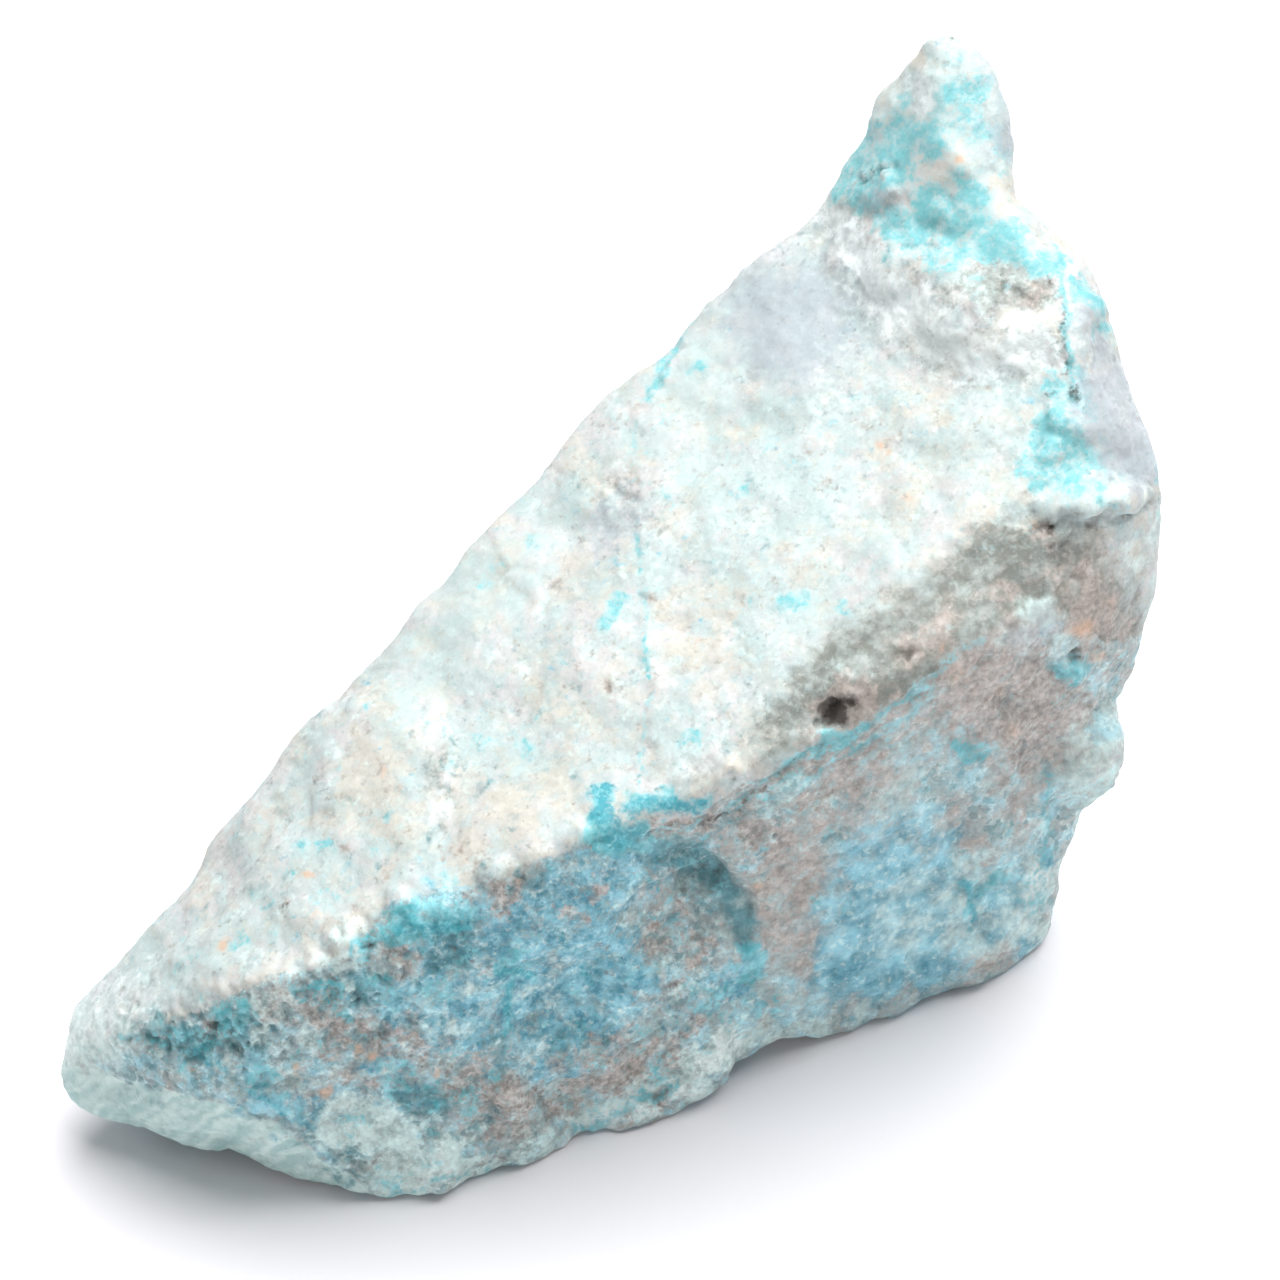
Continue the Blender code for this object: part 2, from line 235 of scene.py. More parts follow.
DARK_SPOTS = (
    (988, 714, 50, 0.2), (1042, 728, 34, 0.2), (834, 712, 11), (825, 719, 9, 0.6), (843, 705, 8, 0.7),
    (853, 701, 6, 0.5), (906, 657, 6, 0.45), (870, 700, 4, 0.4), (900, 612, 3, 0.9), (947, 600, 3, 0.5),
    (1075, 396, 6, 0.8), (1048, 394, 4, 0.7), (1073, 655, 6, 0.7), (1054, 529, 7, 0.5), (1058, 548, 5, 0.6),
    (1062, 567, 5, 0.5), (614, 484, 5, 0.25), (628, 495, 5, 0.25), (949, 37, 4, 0.6), (604, 687, 3, 0.5),
    (365, 727, 3, 0.5), (738, 380, 3, 0.4), (212, 1028, 7, 0.6), (238, 1050, 7, 0.5), (222, 1056, 5, 0.5),
    (332, 996, 6, 0.5), (282, 910, 4, 0.6), (802, 668, 3, 0.5), (556, 1118, 6, 0.5), (1020, 762, 7, 0.4),
    (362, 996, 7, 0.55), (1046, 282, 4, 0.6), (345, 857, 3, 0.4), (806, 636, 3, 0.5), (718, 872, 7, 0.4),
    (456, 948, 6, 0.4), (1060, 340, 3, 0.5), (868, 687, 3, 0.5), (258, 1078, 6, 0.4), (300, 980, 6, 0.4),
    (1096, 578, 4, 0.5), (1006, 592, 3, 0.5),
)
PALE_SPOTS = (
    # rim of the foot and of the right end
    (580, 1124, 13), (605, 1112, 14), (640, 1098, 14), (678, 1080, 14), (706, 1060, 14), (1042, 880, 16),
    (1040, 930, 14), (1044, 830, 12, 0.8), (540, 1150, 13, 0.8), (470, 1185, 16, 0.8), (420, 1195, 18, 0.8),
    # lumps of host rock in and under the front face
    (370, 1134, 30, 0.8), (410, 1150, 28, 0.8), (437, 1166, 28, 0.9), (385, 1176, 26, 0.8),
    (470, 1176, 22, 0.8), (350, 1110, 20, 0.7), (520, 1160, 18, 0.6), (560, 1164, 16, 0.7),
    (600, 1140, 16, 0.7), (640, 1115, 16, 0.6), (690, 1092, 18, 0.8), (710, 1066, 16), (724, 1040, 14, 0.9),
    (330, 1130, 20, 0.8), (345, 940, 20, 0.9), (1094, 775, 30, 0.5), (1075, 806, 20, 0.4),
    (1112, 755, 20, 0.3), (1040, 622, 18, 0.6), (1005, 640, 18, 0.4), (1058, 636, 14, 0.5),
    (1120, 500, 22, 0.6), (1140, 560, 18, 0.5), (1105, 690, 24, 0.3), (1118, 720, 20, 0.3),
    (760, 1036, 22, 0.7), (810, 1020, 20, 0.6), (860, 1012, 16, 0.5), (450, 1060, 12, 0.4),
    (470, 970, 16, 0.4), (455, 1010, 22, 0.4), (560, 960, 20, 0.3), (545, 990, 18, 0.3),
    (640, 905, 22, 0.4), (680, 985, 18, 0.4), (280, 1035, 50, 0.35), (420, 975, 18, 0.4),
    (345, 972, 16, 0.5), (880, 930, 50, 0.4), (950, 900, 50, 0.4), (1005, 925, 36, 0.5),
    (900, 790, 30, 0.4), (800, 800, 26, 0.4), (1080, 740, 20, 0.6), (70, 1050, 30, 0.8),
    (110, 1050, 24, 0.7),
)
# Milky quartz, and painted light that lifts the shade of the valley under the horn: the spots from (838, 226)
# to (1010, 366), (922, 92), and those from (900, 300) to (1040, 325).
MILKY_AND_PAINTED_LIGHT_SPOTS = (
    (838, 226, 20, 0.9), (858, 256, 22), (880, 284, 22), (902, 312, 22), (928, 334, 22), (955, 352, 22),
    (985, 362, 20, 0.9), (1010, 366, 16, 0.7), (105, 1005, 44, 0.4), (60, 1040, 24, 0.4),
    (922, 92, 18, 0.7), (440, 1180, 26, 0.4), (900, 300, 24, 0.8), (870, 276, 22, 0.8),
    (1030, 350, 26, 0.7), (1000, 330, 22, 0.3), (1040, 325, 14, 0.4), (572, 1138, 13, 0.8),
    (602, 1120, 13, 0.8), (638, 1106, 13, 0.8), (678, 1088, 13, 0.8), (708, 1064, 13, 0.7),
    (728, 1040, 12, 0.7), (1042, 880, 14, 0.6),
)
GLASSY_SPOTS = (
    (806, 316, 54), (780, 340, 40, 0.8), (1110, 400, 34), (1128, 445, 30), (1004, 140, 24, 0.8),
    (884, 200, 14, 0.6), (984, 62, 22, 0.5), (1117, 388, 28), (1132, 430, 26), (1125, 460, 20),
    (1100, 350, 14, 0.7), (1148, 484, 12, 0.8), (1084, 318, 14, 0.7), (760, 300, 40, 0.7),
    (1010, 110, 18, 0.6), (620, 520, 26, 0.6), (600, 540, 22, 0.5), (1044, 628, 18, 0.55),
    (1020, 640, 18, 0.45), (985, 648, 16, 0.35), (420, 880, 16, 0.3), (560, 620, 30, 0.3),
)
MINT_SPOTS = (
    (470, 590, 40, 0.9), (440, 660, 36, 0.8), (400, 700, 28, 0.6), (620, 610, 30, 0.6), (790, 598, 44, 0.9),
    (745, 605, 30, 0.8), (760, 470, 66), (700, 450, 40, 0.7), (820, 500, 36, 0.7), (700, 380, 36, 0.7),
    (640, 440, 30, 0.7), (520, 745, 40, 0.8), (480, 745, 30, 0.7), (692, 731, 30, 0.8), (307, 847, 40, 0.8),
    (384, 806, 28, 0.7), (250, 920, 40, 0.7), (170, 970, 50, 0.8), (110, 1020, 50, 0.9),
    (430, 880, 40, 0.8), (330, 905, 36, 0.6), (580, 830, 34, 0.6), (540, 540, 30, 0.6), (560, 500, 30, 0.6),
    (860, 330, 44, 0.6), (940, 90, 50, 0.9), (930, 60, 34, 0.7), (990, 110, 40, 0.8), (980, 240, 44, 0.7),
    (950, 460, 34, 0.6), (980, 420, 40, 0.7), (1000, 380, 34, 0.7), (1090, 500, 44, 0.9),
    (1090, 320, 30, 0.8), (900, 560, 30, 0.5), (640, 560, 24, 0.7), (645, 650, 20, 0.7),
    (600, 760, 30, 0.4), (540, 640, 30, 0.4), (380, 760, 40, 0.4), (780, 320, 60, 0.7), (860, 420, 50, 0.6),
    (720, 540, 40, 0.5), (660, 560, 36, 0.5), (60, 1050, 30), (870, 150, 40, 0.8), (780, 700, 30, 0.5),
    (1000, 160, 30, 0.6), (1120, 560, 30, 0.4), (300, 790, 30, 0.5),
)
# Olive grey painted shade: on the edge where the top face rounds over toward the front, on the slab's step,
# and about the ledges of the tall end and the shoulder.
OLIVE_PAINTED_SHADE_SPOTS = (
    (900, 640, 44, 0.7), (850, 676, 34, 0.7), (990, 590, 40, 0.9), (1020, 575, 44, 0.9),
    (1090, 596, 40, 0.6), (1100, 650, 40), (985, 280, 18, 0.6), (1010, 286, 18, 0.7), (1042, 292, 14, 0.7),
    (945, 288, 22, 0.5), (448, 745, 9, 0.6), (447, 790, 9, 0.6), (436, 830, 9, 0.6), (1075, 545, 26, 0.5),
    (880, 655, 44, 0.4), (850, 690, 34, 0.9), (905, 665, 36, 0.8), (1000, 562, 34, 0.7),
    (1040, 560, 34, 0.5), (940, 650, 28, 0.8), (1070, 590, 34, 0.7), (815, 700, 34, 0.8),
    (1020, 600, 24, 0.5), (980, 620, 24, 0.6), (790, 720, 26, 0.6), (1100, 660, 34, 0.5),
    (760, 745, 24, 0.5), (880, 192, 22, 0.7), (855, 200, 16, 0.5), (624, 496, 18, 0.45),
    (750, 375, 16, 0.5), (1120, 600, 24, 0.5), (945, 600, 34, 0.85), (700, 770, 20, 0.4),
    (560, 575, 12, 0.5), (434, 770, 18, 0.6), (1000, 280, 26, 0.5),
)
TEAL_SPOTS = (
    # corner under the tip
    (380, 1150, 40, 0.4), (430, 1115, 34, 0.4), (330, 1135, 34, 0.4), (500, 1150, 30, 0.3),
    (160, 1110, 40, 0.3),
    # dark green-blue stains
    (240, 1030, 22, 0.7), (210, 1042, 20, 0.7), (262, 1052, 18, 0.6), (160, 1030, 20, 0.7),
    (135, 1026, 14, 0.6), (180, 1040, 16, 0.6), (290, 1015, 14, 0.4), (320, 985, 16, 0.5),
    (360, 995, 16, 0.6), (395, 990, 14, 0.4), (440, 946, 18, 0.8), (455, 955, 18, 0.7), (470, 930, 16, 0.5),
    (510, 880, 12, 0.4), (535, 872, 12, 0.4), (600, 975, 14, 0.3), (635, 975, 14, 0.4),
    (585, 1035, 24, 0.5), (560, 1050, 18, 0.4), (500, 1035, 18, 0.4), (480, 1100, 16, 0.3),
    (700, 920, 16, 0.4), (660, 975, 12, 0.4), (975, 890, 16, 0.6), (1035, 760, 18, 0.4),
    (1010, 770, 14, 0.4), (880, 205, 12, 0.3), (420, 1100, 20, 0.4), (300, 1140, 16, 0.4),
    (345, 1170, 14, 0.4), (480, 1120, 20, 0.3), (520, 1175, 18, 0.4), (100, 1060, 20, 0.3),
    (1010, 940, 14, 0.4), (560, 870, 14, 0.4),
)
# Where the ground is rough, with small hollows.
VUGGY_SPOTS = (
    (150, 1040, 40), (200, 1035, 40), (260, 1020, 40), (320, 1000, 40), (380, 970, 36), (420, 945, 30, 0.8),
    (260, 1070, 36, 0.9), (320, 1060, 36, 0.8), (380, 1040, 34, 0.7), (470, 960, 30, 0.4), (360, 950, 24),
    (150, 1010, 24, 0.6), (440, 1020, 30, 0.4), (300, 900, 30, 0.3), (1070, 560, 30, 0.6),
    (1010, 290, 24, 0.5), (880, 180, 24, 0.5), (865, 700, 24, 0.5), (820, 700, 20, 0.4),
    (1090, 600, 30, 0.5),
)
# Where the grain is fine and even.
CALM_SPOTS = (
    (890, 655, 70, 0.6), (900, 850, 110), (1000, 940, 80, 0.9), (850, 970, 80, 0.9), (1080, 760, 60),
    (780, 900, 60, 0.6), (960, 610, 70, 0.7), (1090, 610, 60, 0.7), (900, 130, 60, 0.6),
    (980, 210, 60, 0.4), (100, 1100, 70, 0.7), (230, 1150, 70, 0.6), (600, 1130, 50, 0.4),
    (1000, 700, 60, 0.7), (940, 780, 60, 0.7), (500, 560, 60, 0.5), (700, 360, 70, 0.5),
    (420, 640, 50, 0.5),
)
# Lines: half width in steps, strength, then the points.
TURQUOISE_LINES = (
    (6.5, 0.9, *VEIN_HEAD),
    (2.6, 0.55, (636, 420), (634, 470), (634, 530)),
    (3.6, 0.9, (634, 536), (636, 552), (641, 572)),
    (3.2, 0.85, (643, 600), (647, 640), (650, 672)),
    (2.8, 0.7, (650, 690), (646, 724), (641, 760), (642, 792)),
    (9.5, 0.9, (618, 599), (612, 611), (603, 623)),
    (4.2, 1.0, (1060, 262), (1064, 306), (1068, 344), (1073, 390)),
    (9.0, 1.0, (598, 790), (604, 820), (614, 846)),
    (7.0, 1.0, (628, 800), (660, 806), (690, 806), (706, 800)),
    (4.5, 0.8, (783, 762), (812, 752), (837, 741), (862, 726)),
    (5.0, 0.55, (850, 738), (887, 712), (917, 686), (950, 660), (985, 640)),
    (3.0, 0.5, (800, 776), (840, 760), (880, 738)),
    (3.0, 0.6, (540, 712), (500, 742), (470, 736)),
    (5.0, 0.5, (1046, 776), (1050, 820), (1044, 870)),
    (3.0, 0.5, (440, 716), (452, 742), (446, 790)),
    (4.0, 0.6, (120, 1040), (160, 1046), (200, 1030)),
    (3.0, 0.7, (350, 960), (352, 944), (378, 926), (400, 906)),
    (4.0, 0.6, (1142, 440), (1160, 466), (1166, 520)),
    (3.0, 0.8, (498, 965), (520, 972), (532, 980)),
    (3.0, 0.6, (508, 984), (512, 1010), (506, 1030)),
    (5.0, 0.7, (560, 1160), (590, 1130), (630, 1105), (676, 1086)),
    (3.0, 0.5, (380, 1195), (420, 1190), (470, 1170)),
    (2.5, 0.4, (640, 846), (700, 836), (760, 812)),
    (3.0, 0.5, (930, 96), (960, 110), (975, 140)),
    (2.5, 0.5, (1095, 300), (1110, 330), (1116, 352)),
)
LAYER_LINES = (
    (15.0, 0.9, (660, 826), (720, 808), (780, 776), (850, 742), (900, 708), (960, 668), (1010, 650)),
    (14.0, 0.5, (800, 800), (860, 766), (940, 712), (1010, 676), (1050, 684)),
)
BROWN_LINES = (
    (3.0, 0.7, (650, 826), (690, 822), (722, 812), (760, 790)),
    (3.0, 0.6, (800, 768), (850, 742), (900, 716), (950, 690), (1000, 668)),
    (5.0, 0.6, (880, 750), (930, 714), (990, 690), (1040, 676)),
    (3.0, 0.7, (1085, 600), (1080, 640), (1092, 660)),
    (3.5, 0.6, (482, 1068), (512, 1072), (534, 1092), (550, 1118)),
)
AZURE_LINES = (
    (12.0, 1.0, (600, 796), (606, 822), (618, 846), (634, 830)),
    (7.0, 1.0, (630, 806), (660, 806), (694, 806)),
    (8.0, 0.8, (396, 936), (430, 929), (460, 920)),
    (3.0, 0.8, (200, 1050), (214, 1064), (232, 1074)),
    (3.6, 1.0, (498, 965), (516, 971), (532, 980)),
    (3.2, 0.9, (508, 984), (512, 1010), (508, 1030)),
    (3.0, 0.7, (436, 920), (448, 930), (470, 926)),
    (3.4, 0.8, (968, 880), (974, 900), (973, 925)),
    (3.0, 0.45, (1044, 780), (1048, 820), (1044, 870)),
    (3.0, 0.7, (640, 870), (660, 885), (668, 905)),
    (3.0, 0.6, (560, 930), (580, 960), (590, 990)),
    (3.0, 0.6, (250, 1092), (270, 1106), (284, 1118)),
)
TEAL_LINES = (
    # painted shadow under the scoop's rim
    (15.0, 1.0, (664, 852), (690, 856), (714, 874), (734, 900), (746, 926)),
    (6.0, 0.5, (752, 815), (700, 838), (655, 846), (610, 852), (560, 866)),
    (5.0, 0.4, (230, 1100), (262, 1120), (290, 1128)),
    (4.0, 0.4, (60, 1082), (120, 1100), (180, 1116), (240, 1140)),
    (4.0, 0.4, (90, 1110), (150, 1124), (210, 1142), (270, 1166)),
    # painted shadow along the slab's step
    (4.0, 0.5, (440, 716), (456, 748), (448, 796), (438, 826), (424, 856)),
    (4.0, 0.5, (320, 1150), (350, 1158), (372, 1180)),
)
DARK_LINES = (
    (1.8, 0.5, (1058, 284), (1062, 320), (1068, 372)),
    (2.4, 0.25, *STAIN_CRACK),
    (2.2, 0.55, (700, 826), (740, 806), (780, 768), (826, 742)),
    (2.0, 0.35, (500, 884), (540, 868), (566, 850), (600, 842)),
    (2.4, 0.4, (512, 1072), (534, 1090), (552, 1116)),
    # painted shadow in the scoop's core
    (5.0, 0.25, (684, 850), (704, 864), (720, 884)),
    (2.0, 0.4, *HORN_CRACK),
    (2.0, 0.3, (232, 1104), (262, 1120), (290, 1124)),
    (2.0, 0.35, *BROW_CRACK),
    (2.0, 0.3, (650, 828), (690, 824), (722, 816)),
    (2.0, 0.3, (950, 640), (910, 662), (880, 690), (850, 700)),
    (2.0, 0.35, (346, 962), (380, 964), (410, 954)),
)

# Raised plates: rise in millimetres, softness of the edge in steps, then the outline.
PLATES = (
    (0.28, 12.0, (300, 748), (345, 704), (385, 694), (430, 700), (456, 744), (447, 790), (440, 820),
     (424, 852), (420, 888), (392, 908), (352, 938), (300, 930), (250, 880)),
    (0.45, 5.0, (1036, 500), (1062, 484), (1096, 472), (1142, 484), (1150, 500), (1110, 508), (1064, 520),
     (1040, 526)),
    (0.14, 6.0, (640, 402), (700, 312), (760, 262), (830, 208), (900, 244), (952, 288), (1010, 308),
     (1054, 330), (1052, 380), (1024, 446), (1034, 500), (960, 540), (860, 640), (800, 690), (700, 770),
     (650, 792), (650, 700), (645, 600), (636, 500)),
    (0.40, 5.0, (545, 1180), (600, 1130), (660, 1096), (700, 1050), (730, 1030), (730, 1090), (640, 1150),
     (560, 1200)),
)
# Grooves and cracks: half width in steps, depth in millimetres, then the points.
GROOVES = (
    (3.5, 0.14, (655, 838), (700, 828), (740, 806), (780, 768), (826, 742)),
    (3.0, 0.10, (500, 882), (540, 868), (566, 850), (600, 842)),
    (16.0, 0.34, (655, 852), (688, 858), (714, 880), (738, 906), (752, 936)),
    (6.0, 0.12, (482, 1068), (512, 1072), (534, 1092), (552, 1116)),
    (7.0, 0.16, *STAIN_CRACK),
    (3.0, 0.18, (1060, 306), (1063, 344), (1071, 384)),
    (4.0, 0.10, *VEIN_HEAD),
    (3.5, 0.20, *HORN_CRACK),
    (3.5, 0.20, (232, 1104), (262, 1120), (290, 1124)),
    (4.5, 0.22, (320, 1146), (345, 1152), (362, 1166)),
    (5.0, 0.12, *BROW_CRACK),
    (5.0, 0.30, (1040, 528), (1070, 524), (1112, 516), (1146, 508)),
    (6.0, 0.10, (960, 660), (1010, 656), (1050, 668), (1072, 690)),
    (10.0, 0.14, (975, 830), (985, 880), (978, 940)),
)
# Pits and bumps: x, y, radius in steps, then depth or height in millimetres.
PITS = (
    (829, 714, 9, 0.7), (838, 705, 7, 0.4), (854, 703, 5, 0.25), (821, 724, 6, 0.3), (906, 656, 6, 0.3),
    (1075, 396, 6, 0.4), (1073, 656, 5, 0.35), (212, 1028, 9, 0.3), (236, 1048, 8, 0.4),
    (332, 996, 8, 0.35), (362, 1000, 6, 0.35), (1054, 532, 6, 0.3), (620, 492, 8, 0.1),
    (1008, 700, 12, 0.25), (702, 878, 24, 0.5), (604, 687, 6, 0.15), (640, 1060, 14, 0.2),
)
BUMPS = (
    (930, 300, 48, 0.75), (985, 330, 46, 0.75), (878, 256, 36, 0.50), (880, 108, 22, 0.25),
    (984, 66, 22, 0.25), (1000, 110, 18, 0.15), (930, 60, 18, 0.15), (1088, 308, 15, 0.40),
    (1102, 440, 24, 0.25), (1060, 420, 14, 0.25), (1050, 455, 12, 0.25), (345, 940, 16, 0.45),
    (400, 905, 12, 0.3), (495, 872, 12, 0.3), (1071, 668, 11, 0.45), (1040, 626, 24, 0.12),
    (370, 1134, 18, 0.35), (437, 1166, 20, 0.4), (510, 1098, 20, 0.45), (884, 190, 14, 0.3),
    (1016, 296, 12, 0.3), (730, 780, 16, 0.3), (286, 985, 12, 0.3), (312, 962, 12, 0.3),
    (800, 790, 20, 0.25), (1090, 775, 20, 0.3), (960, 160, 12, 0.12), (940, 215, 16, 0.25),
    (575, 835, 14, 0.25),
)


def linear(red, green, blue):
    """The scene's linear colour for display values of 0 to 255."""
    shares = (red / 255, green / 255, blue / 255)
    return tuple(s / 12.92 if s <= 0.04045 else ((s + 0.055) / 1.055) ** 2.4 for s in shares)


def colour_property(name, description, red, green, blue):
    return FloatVectorProperty(
        name=name, description=description, subtype="COLOR", size=3, min=0.0, max=1.0,
        default=linear(red, green, blue),
    )


def length_property(name, description, millimetres):
    return FloatProperty(
        name=name, description=description, default=millimetres * MM, min=0.0, unit="LENGTH", precision=5,
    )


class StoneShape(bpy.types.PropertyGroup):
    """Sizes of the stone's broken surface."""

    skin: length_property("Skin mesh", "Spacing of the surface's points", 0.24)
    soften: IntProperty(name="Soften", description="Passes that round the solid's facets", default=30, min=0)
    plate: length_property("Plate size", "Width of the broken plates", 4.2)
    plate_depth: length_property("Plate depth", "How far the plates stand apart", 0.20)
    lump_depth: length_property("Lump depth", "Height of the soft lumps", 0.20)
    grain_depth: length_property("Grain depth", "Height of the sugary grain", 0.06)
    crumble_depth: length_property("Crumble depth", "Height of the crumbly ground near the tip", 0.20)
    pit_depth: length_property("Hollow depth", "Depth of the hollows near the tip", 0.28)
    back_depth: length_property("Back depth", "Height of the broken ground on the hidden sides", 0.42)


class StoneColours(bpy.types.PropertyGroup):
    """Colours of the host rock, of the crusts and of the stains."""

    host: colour_property("Host rock", "Milky white of the top face", 196, 196, 195)
    host_grey: colour_property("Grey rock", "Greenish grey of the top face", 174, 184, 181)
    mint: colour_property("Mint wash", "Rock washed with a little copper", 177, 195, 194)
    cream: colour_property("Cream stain", "Weak iron stain", 196, 192, 181)
    orange: colour_property("Orange stain", "Strong iron stain", 202, 164, 134)
    turquoise: colour_property("Turquoise crust", "Bright crust", 66, 164, 174)
    turquoise_pale: colour_property("Pale crust", "Thin part of the crust", 138, 200, 207)
    crust_top: colour_property("Weathered crust", "Crust of the top face", 103, 182, 188)
    crust_top_pale: colour_property("Pale weathered crust", "Thin crust of the top face", 180, 203, 204)
    front: colour_property("Front rock", "Grey ground of the front face", 148, 168, 171)
    front_pale: colour_property("Pale front rock", "Pale grains of the front face", 205, 226, 222)
    # Milky white: pale bands and lumps, and painted light on the shaded valley under the horn.
    milky_and_painted_light: colour_property("Milky quartz", "Pale bands and lumps", 232, 240, 239)
    beige: colour_property("Beige grains", "Beige grains of the front face", 180, 174, 169)
    blue: colour_property("Blue crust", "Deep blue of the front face", 60, 148, 172)
    blue_pale: colour_property("Light blue crust", "Light blue of the front face", 142, 198, 212)
    azure: colour_property("Azure strokes", "Strong blue of thin strokes", 46, 156, 172)
    # Teal: green-blue stains, and also painted shade in the hollows of the front face, under the scoop's rim
    # and along the slab's step.
    teal: colour_property("Teal hollows", "Dark green-blue of the hollows", 50, 118, 128)
    brown: colour_property("Brown rock", "Granular brown rock", 146, 139, 132)
    brown_pink: colour_property("Pink grains", "Pinkish grains in the brown", 190, 178, 171)
    corner: colour_property("Corner rock", "Rock of the undercut corner", 166, 198, 196)
    glassy: colour_property("Quartz", "Glassy lilac-grey quartz", 161, 170, 176)
    # Painted shade in olive grey, for the rounded edge, the slab's step and the ledges.
    olive_painted_shade: colour_property("Olive rock", "Dull rock of the rounded edge", 116, 120, 113)
    # Dark: oxide in pits and cracks, and painted shadow in the scoop's core.
    dark: colour_property("Dark mineral", "Oxide in pits and cracks", 50, 43, 38)


class StageSettings(bpy.types.PropertyGroup):
    """The floor and the light."""

    floor: colour_property("Floor", "Colour of the floor", 240, 237, 240)
    sky_strength: FloatProperty(name="Sky", description="Strength of the even light", default=0.40, min=0.0)
    lamp_watts: FloatProperty(
        name="Overhead lamp", description="Power of the soft lamp above", default=4.2, min=0.0, unit="POWER",
    )


class Link:
    """A shader socket whose operators add Math nodes."""

    def __init__(self, shade, socket):
        self.shade = shade
        self.socket = socket

    def join(self, operation, first, second):
        made = self.shade.node("ShaderNodeMath", {"operation": operation}, {0: first, 1: second})
        return self.shade.link(made.outputs[0])

    def __add__(self, other):
        return self.join("ADD", self, other)

    def __sub__(self, other):
        return self.join("SUBTRACT", self, other)

    def __mul__(self, other):
        return self.join("MULTIPLY", self, other)

    def __rsub__(self, other):
        return self.join("SUBTRACT", other, self)

    __radd__ = __add__
    __rmul__ = __mul__

    def ramp(self, low, high):
        """0 below low, 1 above high, and a smooth step between."""
        made = self.shade.node(
            "ShaderNodeMapRange", {"interpolation_type": "SMOOTHSTEP", "clamp": True},
            {"Value": self, "From Min": low, "From Max": high, "To Min": 0.0, "To Max": 1.0},
        )
        return self.shade.link(made.outputs["Result"])


class Shade:
    """A material's node tree, built from Python expressions."""

    def __init__(self, name):
        self.material = bpy.data.materials.new(name)
        self.material.use_nodes = True
        self.tree = self.material.node_tree
        self.shader = self.tree.nodes["Principled BSDF"]

    def link(self, socket):
        return Link(self, socket)

    def node(self, kind, settings, inputs):
        """Adds one node, sets its settings first, then gives its sockets values or links."""
        made = self.tree.nodes.new(kind)
        for key, value in settings.items():
            setattr(made, key, value)
        for key, value in inputs.items():
            self.feed(made.inputs[key], value)
        return made

    def feed(self, socket, value):
        if isinstance(value, Link):
            self.tree.links.new(value.socket, socket)
        else:
            socket.default_value = value

    def attribute(self, name):
        made = self.node("ShaderNodeAttribute", {"attribute_name": name, "attribute_type": "GEOMETRY"}, {})
        return self.link(made.outputs["Fac"])

    def place(self, name):
        """A place in millimetres, from the attribute of that name."""
        made = self.node("ShaderNodeAttribute", {"attribute_name": name, "attribute_type": "GEOMETRY"}, {})
        return self.link(made.outputs["Vector"])

    def frayed(self, place, colour, reach):
        """The place, shifted by a noise's colour by up to about the reach."""
        made = self.node("ShaderNodeVectorMath", {"operation": "MULTIPLY_ADD"},
                         {0: colour, 1: (reach, reach, reach), 2: place})
        return self.link(made.outputs[0])

    def spread(self, socket):
        """A noise value, spread from its narrow middle to about 0 to 1."""
        return (self.link(socket) - 0.5) * 2.6 + 0.5

    def three_noises(self, place, size, detail, roughness):
        """Three noises from one node, and the node's colour, which can shift a place."""
        made = self.node(
            "ShaderNodeTexNoise", {"noise_dimensions": "3D"},
            {"Vector": place, "Scale": 1 / size, "Detail": detail, "Roughness": roughness},
        )
        colour = self.link(made.outputs["Color"])
        split = self.node("ShaderNodeSeparateColor", {}, {0: colour})
        return [self.spread(socket) for socket in split.outputs], colour

    def cells(self, place, size):
        """Grains of the given size, as three random values for each grain."""
        made = self.node("ShaderNodeTexVoronoi", {"voronoi_dimensions": "3D"},
                         {"Vector": place, "Scale": 1 / size})
        split = self.node("ShaderNodeSeparateColor", {}, {0: self.link(made.outputs["Color"])})
        return [self.link(socket) for socket in split.outputs]

    def mix(self, share, first, second, blend="MIX"):
        """First where share is 0 and second where it is 1; colours are links or plain colours."""
        settings = {"data_type": "RGBA", "blend_type": blend, "clamp_factor": True}
        made = self.node("ShaderNodeMix", settings, {})
        self.feed(made.inputs[0], share)
        for socket, value in ((made.inputs[6], first), (made.inputs[7], second)):
            self.feed(socket, value if isinstance(value, Link) else (*value, 1.0))
        return self.link(made.outputs[2])

    def grey(self, value):
        """A value as a grey colour."""
        made = self.node("ShaderNodeCombineColor", {}, {0: value, 1: value, 2: value})
        return self.link(made.outputs[0])

    def bump(self, height, distance, strength):
        made = self.node("ShaderNodeBump", {}, {"Height": height, "Distance": distance, "Strength": strength})
        return self.link(made.outputs["Normal"])


def view_axes():
    """Unit directions of the main view: towards the camera, to its right and up."""
    back = np.array((
        math.sin(VIEW_AZIMUTH) * math.cos(VIEW_ELEVATION),
        -math.cos(VIEW_AZIMUTH) * math.cos(VIEW_ELEVATION),
        math.sin(VIEW_ELEVATION),
    ))
    right = np.array((math.cos(VIEW_AZIMUTH), math.sin(VIEW_AZIMUTH), 0.0))
    return back, right, np.cross(back, right)


def on_view(points):
    """Where points, in millimetres, fall on the main view, in steps."""
    back, right, up = view_axes()
    away = points - TARGET
    size = VIEW_STEP * (VIEW_DISTANCE - away @ back) / VIEW_DISTANCE
    middle = VIEW_STEPS / 2
    return np.stack((middle + (away @ right) / size, middle - (away @ up) / size), axis=1)


def laid(points):
    """Points with their depth drawn in, so that grain on the tilted faces isn't squeezed to threads."""
    back, _, _ = view_axes()
    return points - (1 - DEPTH_SHARE) * (points @ back)[:, None] * back


